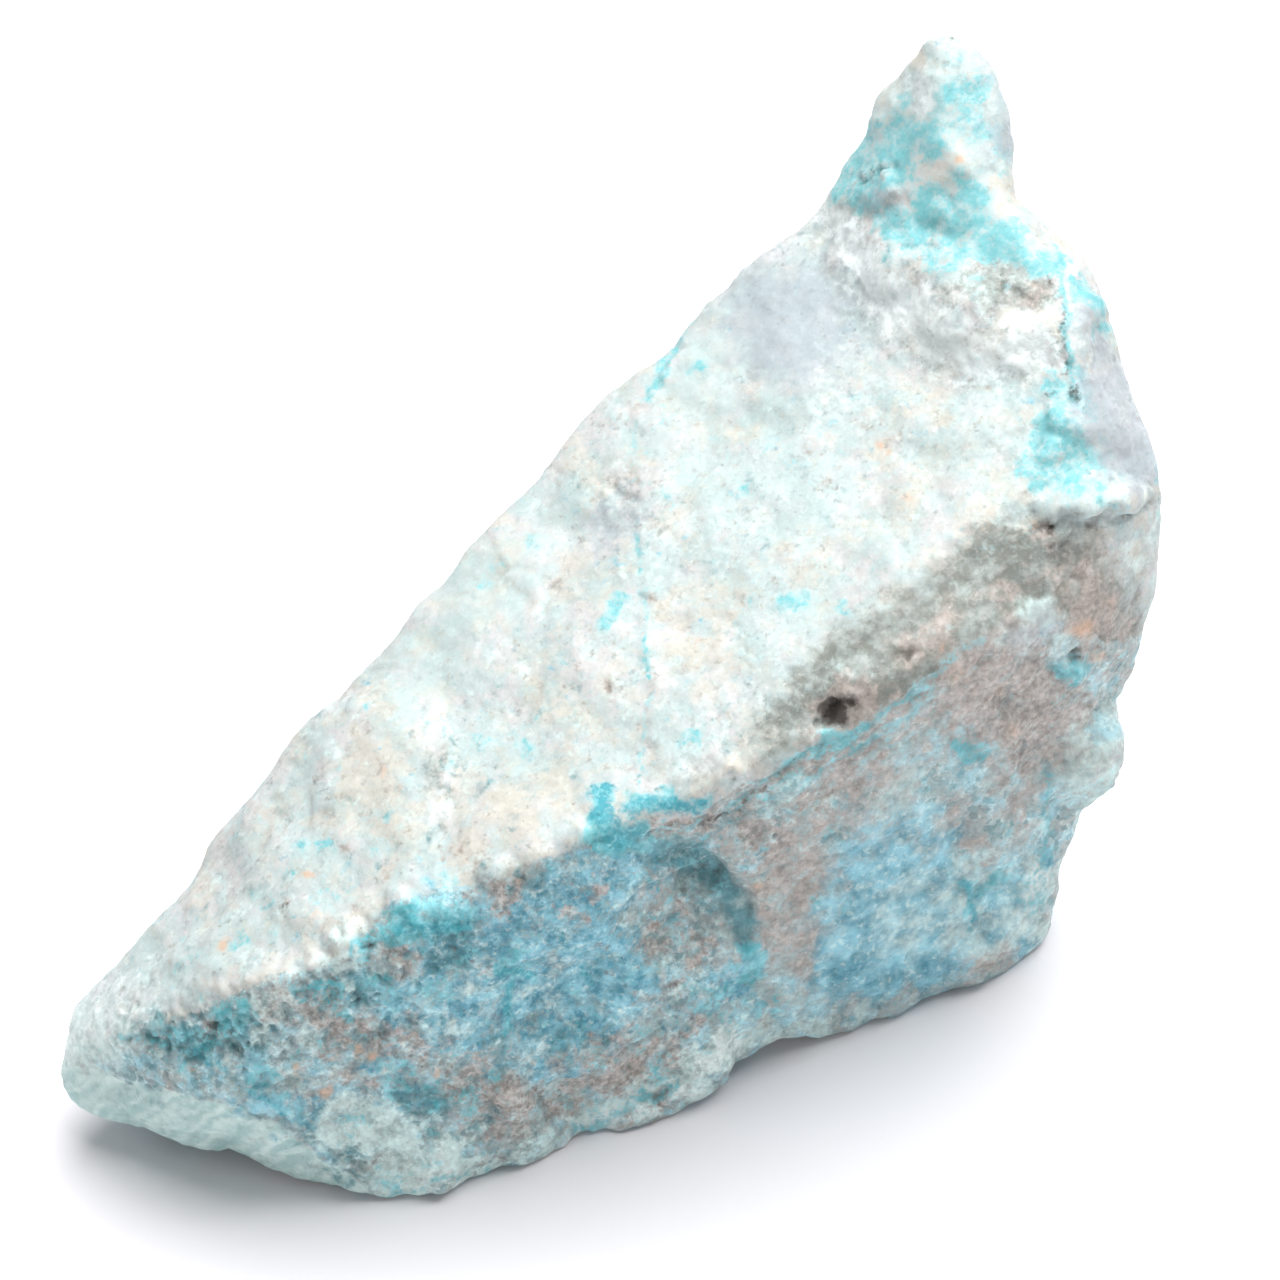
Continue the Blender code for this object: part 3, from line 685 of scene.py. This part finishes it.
def line_distance(places, line):
    """Distance of each place to a line of points."""
    best = np.full(len(places), 1e9)
    for start, end in zip(line[:-1], line[1:]):
        start = np.array(start, float)
        along = np.array(end, float) - start
        share = np.clip((places - start) @ along / (along @ along), 0.0, 1.0)
        gap = places - start - share[:, None] * along
        best = np.minimum(best, np.hypot(gap[:, 0], gap[:, 1]))
    return best


def inside_outline(places, outline):
    """True for each place inside a closed outline."""
    x, y = places[:, 0], places[:, 1]
    odd = np.zeros(len(places), bool)
    for (x0, y0), (x1, y1) in zip(outline, outline[1:] + outline[:1]):
        if y0 == y1:
            continue
        crosses = (y0 > y) != (y1 > y)
        odd ^= crosses & (x < (x1 - x0) * (y - y0) / (y1 - y0) + x0)
    return odd


def smooth(value):
    share = np.clip(value, 0.0, 1.0)
    return share * share * (3 - 2 * share)


def spot_field(places, spots):
    """How much the spots cover: full in the middle of a spot, a half at its radius and none at twice that."""
    bare = np.ones(len(places))
    for x, y, radius, *strength in spots:
        reach = np.hypot(places[:, 0] - x, places[:, 1] - y) / radius
        bare *= 1 - (strength[0] if strength else 1.0) * smooth(1 - reach / 2)
    return 1 - bare


def line_field(places, lines):
    """How much the lines cover, as spot_field does with the half width as the radius."""
    bare = np.ones(len(places))
    for width, strength, *line in lines:
        bare *= 1 - strength * smooth(1 - line_distance(places, line) / width / 2)
    return 1 - bare


def read_points(mesh, kind="co"):
    """The mesh's points in millimetres, or its normals."""
    values = np.empty(len(mesh.vertices) * 3, np.float32)
    source = mesh.vertices if kind == "co" else mesh.vertex_normals
    source.foreach_get("co" if kind == "co" else "vector", values)
    values = values.reshape(-1, 3).astype(float)
    return values / MM if kind == "co" else values


def write_points(mesh, points):
    mesh.vertices.foreach_set("co", (points * MM).astype(np.float32).ravel())
    mesh.update()


def chip_heights(points, size, edge):
    """Tilted plates, with a short ramp from each to the next, as heights of about -1 to 1."""
    heights = np.empty(len(points))
    half = Vector((0.5, 0.5, 0.5))
    for index, point in enumerate(points / size):
        place = Vector(point)
        distances, middles = noise.voronoi(place)
        pair = []
        for middle in middles[:2]:
            turn = noise.cell_vector(middle * 7.3) - half
            pair.append(2 * turn.x + 2.4 * turn.dot(place - middle))
        share = min(1.0, (distances[1] - distances[0]) / edge)
        share *= share * (3 - 2 * share)
        heights[index] = pair[0] * (0.5 + 0.5 * share) + pair[1] * (0.5 - 0.5 * share)
    return heights


def fractal_heights(points, size, octaves, fade=0.9):
    return np.array([noise.fractal(Vector(point), fade, 2.1, octaves) for point in points / size])


def hollow_heights(points, size):
    """Ragged hollows of uneven size and depth: 0 on the level ground and down to -1 in a hollow."""
    heights = fractal_heights(points, size, 3, fade=0.7)
    return -smooth((heights - 0.12) / 0.5)


def facing(normals):
    """1 where the surface faces the main view, 0 where it is turned away."""
    back, _, _ = view_axes()
    return smooth((normals @ back + 0.02) / 0.22)


def way_to_seen(points, seen):
    """Distance of each point to the nearest one that the main view shows."""
    shown = points[seen > 0.5]
    tree = KDTree(len(shown))
    for index, point in enumerate(shown):
        tree.insert(point, index)
    tree.balance()
    return np.array([tree.find(point)[2] for point in points])


def ridge_side(places):
    """0 on the top face, 1 on the front face, from the line of the ridge."""
    line = np.array(RIDGE, float)
    level = np.interp(places[:, 0], line[:, 0], line[:, 1])
    return smooth((places[:, 1] - level) / RIDGE_EDGE + 0.5)


def corner_side(places):
    """1 on the undercut corner under the tip."""
    line = np.array(CORNER, float)
    level = np.interp(places[:, 0], line[:, 0], line[:, 1], right=2000)
    return smooth((places[:, 1] - level) / CORNER_EDGE + 0.4)


def select_only(piece):
    bpy.ops.object.select_all(action="DESELECT")
    piece.select_set(True)
    bpy.context.view_layer.objects.active = piece


def apply_modifier(piece, kind, **settings):
    """Adds a modifier, sets it and applies it."""
    select_only(piece)
    bpy.ops.object.modifier_add(type=kind)
    added = piece.modifiers[-1]
    for key, value in settings.items():
        setattr(added, key, value)
    bpy.ops.object.modifier_apply(modifier=added.name)


def stone_copy():
    """A merged copy of the stone's solid, as a new object."""
    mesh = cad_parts[STONE].data.copy()
    mesh.materials.clear()
    piece = bpy.data.objects.new(BODY_NAME, mesh)
    mesh.name = BODY_NAME
    bpy.context.scene.collection.objects.link(piece)
    select_only(piece)
    bpy.ops.object.mode_set(mode="EDIT")
    bpy.ops.mesh.select_all(action="SELECT")
    bpy.ops.mesh.remove_doubles(threshold=0.001 * MM)
    bpy.ops.object.mode_set(mode="OBJECT")
    return piece


def marked_relief(places, seen):
    """Plates, grooves, pits and bumps that are laid out on the main view."""
    rise = np.zeros(len(places))
    for height, edge, *outline in PLATES:
        gap = line_distance(places, outline + outline[:1])
        signed = np.where(inside_outline(places, outline), gap, -gap)
        rise += height * smooth(0.5 + signed / (2 * edge))
    for width, depth, *line in GROOVES:
        rise -= depth * smooth(1.4 - line_distance(places, line) / width)
    for x, y, radius, depth in PITS:
        rise -= depth * smooth(1.5 - np.hypot(places[:, 0] - x, places[:, 1] - y) / radius)
    for x, y, radius, height in BUMPS:
        rise += height * smooth(1.5 - np.hypot(places[:, 0] - x, places[:, 1] - y) / radius)
    return rise * seen


def broken_back(points, normals, seen):
    """Heights of the broken ground on the hidden sides: 0 on the seen sides and on the flat foot."""
    back, _, _ = view_axes()
    turned_away = smooth((way_to_seen(points, seen) - BACK_START) / BACK_RAMP)
    turned_away *= smooth(-(normals @ back) / 0.4)
    turned_away *= 1 - smooth((-normals[:, 2] - 0.6) / 0.3)
    plates = chip_heights(points + 47.0, BACK_PLATE_SIZE, 0.3)
    lumps = fractal_heights(points + 61.0, BACK_LUMP_SIZE, 5, fade=0.8)
    return (plates + 1.6 * lumps - 0.5) * turned_away


class STONE_OT_surface(bpy.types.Operator):
    """Makes the stone's broken surface from its solid"""

    bl_idname = "stone.surface"
    bl_label = "Stone surface"

    def execute(self, context):
        shape = context.scene.stone_shape
        piece = stone_copy()
        spacing = shape.skin * 1.0
        apply_modifier(piece, "REMESH", mode="VOXEL", voxel_size=spacing, use_smooth_shade=True)
        apply_modifier(piece, "SMOOTH", factor=0.5, iterations=shape.soften)
        self.add_relief(piece.data, shape)
        self.thin_hidden_side(piece)
        self.fit_box(piece.data)
        select_only(piece)
        bpy.ops.object.shade_smooth()
        return {"FINISHED"}

    def add_relief(self, mesh, shape):
        """Moves each point along its normal. A number added to a place sets its noise apart."""
        points = read_points(mesh)
        normals = read_points(mesh, "normal")
        grain = laid(points)
        places = on_view(points) + wander(grain, 1.3, 9.0) + wander(grain + 17.0, 0.5, 4.0)
        seen = facing(normals)
        front = ridge_side(places)
        vuggy = spot_field(places, VUGGY_SPOTS) * seen
        rise = chip_heights(points, shape.plate / MM, 0.45) * shape.plate_depth / MM
        rise += fractal_heights(grain, LUMP_SIZE, 3, fade=0.8) * shape.lump_depth / MM
        rise += fractal_heights(grain + 11.0, GRAIN_SIZE, 2, fade=0.5) * shape.grain_depth / MM
        rise *= 0.55 + 0.35 * front
        rise += fractal_heights(grain + 19.0, CRUMBLE_SIZE, 3, fade=0.6) * vuggy * shape.crumble_depth / MM
        rise += hollow_heights(grain + 5.0, HOLLOW_SIZE) * vuggy * shape.pit_depth / MM
        layered = line_field(places, LAYER_LINES) * seen
        rise += 2 * (streaks(places) - 0.5) * layered * shape.grain_depth / MM
        rise += marked_relief(places, seen)
        rise += broken_back(points, normals, seen) * shape.back_depth / MM
        write_points(mesh, points + normals * rise[:, None])

    def thin_hidden_side(self, piece):
        """Thins the sides that the main view doesn't show, down to the most triangles in all."""
        seen = facing(read_points(piece.data, "normal"))
        group = piece.vertex_groups.new(name="hidden")
        for index in np.flatnonzero(seen < 0.02):
            group.add([int(index)], 1.0, "REPLACE")
        triangles = 2 * len(piece.data.polygons)
        if triangles > MOST_TRIANGLES:
            apply_modifier(piece, "DECIMATE", ratio=MOST_TRIANGLES / triangles, vertex_group="hidden",
                           vertex_group_factor=10.0)
        piece.vertex_groups.clear()

    def fit_box(self, mesh):
        """Holds the surface inside the solid's own box, so that its foot stays on the ground."""
        low, high = (np.array(corner) / MM for corner in cad_box)
        write_points(mesh, np.clip(read_points(mesh), low, high))


class STONE_OT_crusts(bpy.types.Operator):
    """Lays the crusts, the veins, the stains and some painted shade and light on the stone, and gives it its
    material
    """

    bl_idname = "stone.crusts"
    bl_label = "Stone crusts"

    def execute(self, context):
        piece = bpy.data.objects.get(BODY_NAME)
        if piece is None:
            raise RuntimeError("the stone's surface is made before its crusts")
        for name, values in self.fields(piece.data).items():
            layer = piece.data.attributes.new(name, "FLOAT", "POINT")
            layer.data.foreach_set("value", values.astype(np.float32))
        layer = piece.data.attributes.new("laid", "FLOAT_VECTOR", "POINT")
        layer.data.foreach_set("vector", laid(read_points(piece.data)).astype(np.float32).ravel())
        piece.data.materials.append(stone_material(context.scene.stone_colours))
        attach(piece, "root")
        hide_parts(STONE)
        return {"FINISHED"}

    def fields(self, mesh):
        """How much of each crust, stain, painted shade and painted light there is at each point, from 0 to 1.
        """
        points = read_points(mesh)
        normals = read_points(mesh, "normal")
        grain = laid(points)
        places = on_view(points) + wander(grain, 1.6, 7.0) + wander(grain + 40.0, 0.5, 3.0)
        torn = places + wander(grain + 13.0, 1.5, 12.0) + wander(grain + 29.0, 0.6, 8.0)
        seen = facing(normals)
        away = 1 - seen
        broad = 0.5 + 1.4 * fractal_heights(points + 71.0, 7.0, 2)
        other = 0.5 + 1.4 * fractal_heights(points + 93.0, 5.0, 2)
        corner = corner_side(places) * seen
        calm = spot_field(places, CALM_SPOTS) * seen
        marks = {
            "front": ridge_side(places) * (1 - corner),
            "mint": spot_field(torn, MINT_SPOTS),
            "cream": spot_field(torn, CREAM_SPOTS),
            "orange": spot_field(places, ORANGE_SPOTS),
            "turquoise": spot_field(torn, TURQUOISE_SPOTS),
            "blue": spot_field(torn, BLUE_SPOTS),
            "azure": line_field(places, AZURE_LINES),
            "brown": spot_field(torn, BROWN_SPOTS),
            "teal": spot_field(torn, TEAL_SPOTS),
            "pale": spot_field(torn, PALE_SPOTS),
            "milky_and_painted_light": spot_field(torn, MILKY_AND_PAINTED_LIGHT_SPOTS),
            "glassy": spot_field(torn, GLASSY_SPOTS),
            "olive_painted_shade": spot_field(torn, OLIVE_PAINTED_SHADE_SPOTS),
            "dark": spot_field(places, DARK_SPOTS),
        }
        # veins and cracks, and painted shadow lines in the scoop and along the slab's step
        veins = {
            "turquoise": TURQUOISE_LINES,
            "brown": BROWN_LINES,
            "teal": TEAL_LINES,
            "dark": DARK_LINES,
        }
        hidden = {
            "front": smooth(2 * broad - 0.6),
            "mint": 0.6 * other,
            "cream": 0.3 * broad,
            "turquoise": 0.35 * other,
            "blue": 0.6 - 0.5 * other,
            "brown": 0.5 - 0.4 * broad,
            "pale": 0.2 * broad,
        }
        fields = {}
        for index, (name, field) in enumerate(marks.items()):
            cover = field * seen + away * np.clip(hidden.get(name, 0.0), 0.0, 1.0)
            if name in PATCHY_CRUSTS:
                patches = fractal_heights(grain + PATCH_SHIFT * index, PATCH_SIZE, 4, fade=0.6)
                cover += (0.55 - 0.25 * calm) * patches
            if name in veins:
                cover = np.maximum(cover, line_field(places, veins[name]) * seen)
            fields[name] = cover
        fields["calm"] = calm
        fields["layers"] = line_field(places, LAYER_LINES) * seen
        fields["corner"] = corner
        # how deep each point lies in a small hollow, which the material darkens as painted shade
        fields["hollow"] = hollows(mesh, points, normals)
        fields["streak"] = streaks(places)
        for name, shift, size, octaves in CLOUDS:
            fields[name] = 0.5 + 0.9 * fractal_heights(grain + shift, size, octaves, fade=0.6)
        return fields


def streaks(places):
    """Fine layers that run along the ridge, from 0 to 1."""
    along = np.array(STREAK_WAY)
    across = np.array((-along[1], along[0]))
    layers = np.stack((
        places @ along / STREAK_LENGTH,
        places @ across / STREAK_THICKNESS,
        np.zeros(len(places)),
    ), axis=1)
    return 0.5 + 0.9 * fractal_heights(layers, 1.0, 2)


def wander(points, size, steps):
    """A smooth shift of up to about the given steps, so that no laid-out mark keeps a ruled edge."""
    return np.stack((
        fractal_heights(points + 31.0, size, 2),
        fractal_heights(points + 57.0, size, 2),
    ), axis=1) * steps


def hollows(mesh, points, normals):
    """1 in the bottom of a small hollow and 0 on a level or raised place."""
    edges = np.empty(len(mesh.edges) * 2, np.int64)
    mesh.edges.foreach_get("vertices", edges)
    first, second = edges.reshape(-1, 2).T
    count = np.bincount(edges, minlength=len(points))
    length = np.linalg.norm(points[first] - points[second], axis=1).mean()

    def mean_of_neighbours(values):
        total = np.bincount(first, values[second], len(points))
        total += np.bincount(second, values[first], len(points))
        return total / np.maximum(count, 1)

    around = np.stack([mean_of_neighbours(points[:, axis]) for axis in range(3)], axis=1)
    depth = np.einsum("ij,ij->i", around - points, normals) / length
    for _ in range(2):
        depth = 0.5 * depth + 0.5 * mean_of_neighbours(depth)
    return np.clip(0.5 + 4.0 * depth, 0.0, 1.0)


def stone_material(colours):
    """Sugary rock under patchy crusts: each covers where its field and the fine noise together are high."""
    shade = Shade("chrysocolla_rock")
    place = shade.place("laid")
    (fine, fleck, speck), tint = shade.three_noises(place, FINE_NOISE, 2.0, 0.7)
    lump_a, lump_b, lump_c = shade.cells(shade.frayed(place, tint, 0.5), LUMPY_GRAIN)
    crystal, _, _ = shade.cells(place, CRYSTAL_GRAIN)
    kinds = ("front", "hollow", "patch", "mottle", "blotch", "streak")
    front, hollow, patch, mottle, blotch, streak = (shade.attribute(kind) for kind in kinds)

    def cover(name, texture, soft=0.2, weight=0.6, calmed=0.0):
        """How much a crust covers, with a frayed edge; a calmed one hardly strays onto the top face."""
        field = shade.attribute(name)
        share = (field + (texture - 0.5) * weight).ramp(0.5 - soft, 0.5 + soft)
        if not calmed:
            return share
        return share * (1 - calmed * (1 - front) * (1 - field.ramp(0.2, 0.7)))

    crisp = 1 - 0.6 * shade.attribute("calm")
    ragged = (fine * 0.6 + lump_a * 0.4 - 0.5) * crisp + 0.5
    torn = (fleck * 0.6 + lump_b * 0.4 - 0.5) * crisp + 0.5
    sandy = (speck * 0.5 + lump_c * 0.3 + crystal * 0.2 - 0.5) * crisp + 0.5

    # host rock
    rock = shade.mix((patch * 0.7 + ragged * 0.3).ramp(0.1, 0.65), colours.host_grey, colours.host)
    rock = shade.mix((mottle * 0.7 + torn * 0.3).ramp(0.35, 0.8) * 0.7, rock, colours.mint)
    rock = shade.mix((blotch * 0.7 + sandy * 0.3).ramp(0.45, 0.85) * 0.6, rock, colours.cream)
    rock = shade.mix(cover("mint", ragged, 0.45) * 0.7, rock, colours.mint)
    rock = shade.mix(cover("cream", torn, 0.4) * 0.8, rock, colours.cream)
    # painted shade in olive grey on the rounded edge, the slab's step and the ledges
    olive_painted_shade = shade.mix((torn * 0.6 + mottle * 0.4).ramp(0.3, 1.0), colours.olive_painted_shade, colours.host_grey)
    rock = shade.mix(cover("olive_painted_shade", ragged, 0.4) * 0.95, rock, olive_painted_shade)
    # ground of the front face
    ground = shade.mix(ragged.ramp(0.2, 1.05), colours.front, colours.front_pale)
    ground = shade.mix((blotch * 0.5 + torn * 0.5).ramp(0.35, 0.8) * 0.7, ground, colours.beige)
    ground = shade.mix((mottle * 0.5 + sandy * 0.5).ramp(0.4, 0.8) * 0.6, ground, colours.blue_pale)
    shaded = (patch * 0.3 + fine * 0.3 + (1 - lump_b) * 0.4).ramp(0.55, 0.8)
    ground = shade.mix(shaded * 0.5, ground, colours.teal)
    layers = (streak * 0.7 + fine * 0.3).ramp(0.42, 0.66)
    layered = shade.mix(layers, shade.mix(torn, colours.brown, colours.beige), colours.turquoise_pale)
    ground = shade.mix(shade.attribute("layers") * 0.75, ground, layered)
    surface = shade.mix(cover("front", ragged, 0.12), rock, ground)
    corner = shade.mix((ragged * 0.4 + streak * 0.6).ramp(0.2, 0.8), colours.corner, colours.front_pale)
    surface = shade.mix(cover("corner", ragged, 0.15), surface, corner)
    # crusts
    blue = shade.mix((ragged * 0.7 + mottle * 0.3).ramp(0.1, 0.8), colours.blue, colours.blue_pale)
    surface = shade.mix(cover("blue", torn, 0.3, 0.9, calmed=0.9) * 0.9, surface, blue)
    bright = (speck * 0.6 + lump_b * 0.4).ramp(0.62, 0.9) * front
    surface = shade.mix(bright * 0.5, surface, colours.front_pale)
    brown = shade.mix(sandy.ramp(0.2, 0.75), colours.brown, colours.brown_pink)
    surface = shade.mix(cover("brown", torn, 0.35, 0.8, calmed=0.5) * 0.86, surface, brown)
    surface = shade.mix(cover("teal", ragged, 0.4, calmed=0.6) * 0.78, surface, colours.teal)
    surface = shade.mix(cover("pale", sandy, 0.4) * 0.85, surface, colours.front_pale)
    # milky quartz, and painted light on the shaded valley under the horn
    surface = shade.mix(cover("milky_and_painted_light", sandy, 0.45) * 0.85, surface, colours.milky_and_painted_light)
    deep = shade.mix((torn * 0.7 + mottle * 0.3).ramp(0.2, 0.85), colours.turquoise, colours.turquoise_pale)
    strength = (shade.attribute("turquoise") * 0.6 + torn * 0.7 + speck * 0.5).ramp(0.5, 1.4)
    light_crust = shade.mix(strength, colours.crust_top_pale, colours.crust_top)
    crust = shade.mix(front, light_crust, deep)
    share = cover("turquoise", ragged * 0.6 + crystal * 0.4, 0.35, 1.0, calmed=0.6) * 0.88
    surface = shade.mix(share, surface, crust)
    azure = shade.mix(sandy.ramp(0.35, 1.0), colours.azure, colours.turquoise_pale)
    stroke = shade.attribute("azure").ramp(0.05, 0.4)
    surface = shade.mix(cover("azure", torn, 0.4, 1.0) * stroke * 0.8, surface, azure)
    glassy = cover("glassy", ragged, 0.45)
    surface = shade.mix(glassy * 0.8, surface, colours.glassy)
    surface = shade.mix(cover("orange", sandy, 0.35) * 0.7, surface, colours.orange)
    # painted shade in the hollows, and grain
    painted_hollow_shade = (hollow * 0.6 + (1 - ragged) * 0.4).ramp(0.50, 0.90) * front
    surface = shade.mix(painted_hollow_shade * 0.35, surface, colours.teal)
    grain = 0.20 * (crystal - 0.5) + 0.16 * (speck - 0.5)
    light = 1 + grain * crisp * (0.45 + 0.55 * front) + 0.24 * (mottle - 0.5) * front
    # painted shade: darker in the hollows and lighter on raised places
    light -= 0.15 * (hollow - 0.5)
    surface = shade.mix(1.0, surface, shade.grey(light), "MULTIPLY")
    dark = cover("dark", torn, 0.4, 0.8)
    surface = shade.mix(dark * 0.92, surface, colours.dark)
    shade.feed(shade.shader.inputs["Base Color"], surface)
    shade.feed(shade.shader.inputs["Roughness"], 0.66 - 0.26 * glassy - 0.25 * (crystal - 0.5))
    shade.feed(shade.shader.inputs["Normal"], shade.bump(crystal, 0.05 * MM, 0.5))
    return shade.material


class STONE_OT_stage(bpy.types.Operator):
    """Adds the pale floor, the soft light and the camera"""

    bl_idname = "stone.stage"
    bl_label = "Stone stage"

    def execute(self, context):
        settings = context.scene.stone_stage
        self.add_floor(settings)
        self.add_light(context.scene, settings)
        self.add_camera(context.scene)
        return {"FINISHED"}

    def add_floor(self, settings):
        bpy.ops.object.select_all(action="DESELECT")
        bpy.ops.mesh.primitive_plane_add(size=FLOOR_SIZE, location=(0, 0, -FLOOR_DROP))
        floor = bpy.context.object
        floor.name = "floor"
        shade = Shade("floor_paper")
        shade.feed(shade.shader.inputs["Base Color"], (*settings.floor, 1.0))
        shade.feed(shade.shader.inputs["Roughness"], 0.9)
        floor.data.materials.append(shade.material)

    def add_light(self, scene, settings):
        world = bpy.data.worlds.new("studio")
        world.use_nodes = True
        background = world.node_tree.nodes["Background"]
        background.inputs["Color"].default_value = (1.0, 1.0, 1.0, 1.0)
        background.inputs["Strength"].default_value = settings.sky_strength
        scene.world = world
        bpy.ops.object.light_add(type="AREA", location=LAMP_PLACE)
        lamp = bpy.context.object
        lamp.name = "overhead_lamp"
        lamp.data.shape = "DISK"
        lamp.data.size = LAMP_SIZE
        lamp.data.energy = settings.lamp_watts
        aim = Vector(LAMP_AIM) - lamp.location
        lamp.rotation_euler = aim.to_track_quat("-Z", "Y").to_euler()
        scene.view_settings.view_transform = "Standard"

    def add_camera(self, scene):
        back, _, _ = view_axes()
        camera = bpy.data.cameras.new("main_view")
        camera.sensor_width = SENSOR_WIDTH
        camera.lens = SENSOR_WIDTH * VIEW_DISTANCE / (VIEW_STEPS * VIEW_STEP)
        camera.clip_start = CAMERA_CLIP
        holder = bpy.data.objects.new("main_view", camera)
        holder.location = Vector((TARGET + back * VIEW_DISTANCE) * MM)
        holder.rotation_euler = Vector(back).to_track_quat("Z", "Y").to_euler()
        scene.collection.objects.link(holder)
        scene.camera = holder


class VIEW3D_PT_stone(bpy.types.Panel):
    """Lists the steps and their settings"""

    bl_label = "Raw chrysocolla stone"
    bl_space_type = "VIEW_3D"
    bl_region_type = "UI"
    bl_category = "Stone"

    def draw(self, context):
        column = self.layout.column()
        for operator in (STONE_OT_surface, STONE_OT_crusts, STONE_OT_stage):
            column.operator(operator.bl_idname)
        for group in (context.scene.stone_shape, context.scene.stone_colours, context.scene.stone_stage):
            for key in group.__annotations__:
                column.prop(group, key)


CLASSES = (
    StoneShape, StoneColours, StageSettings, STONE_OT_surface, STONE_OT_crusts, STONE_OT_stage,
    VIEW3D_PT_stone,
)


def register():
    for item in CLASSES:
        bpy.utils.register_class(item)
    bpy.types.Scene.stone_shape = PointerProperty(type=StoneShape)
    bpy.types.Scene.stone_colours = PointerProperty(type=StoneColours)
    bpy.types.Scene.stone_stage = PointerProperty(type=StageSettings)


def unregister():
    del bpy.types.Scene.stone_shape
    del bpy.types.Scene.stone_colours
    del bpy.types.Scene.stone_stage
    for item in reversed(CLASSES):
        bpy.utils.unregister_class(item)


def main():
    register()
    bpy.ops.stone.surface()
    bpy.ops.stone.crusts()
    bpy.ops.stone.stage()


if __name__ == "__main__":
    main()
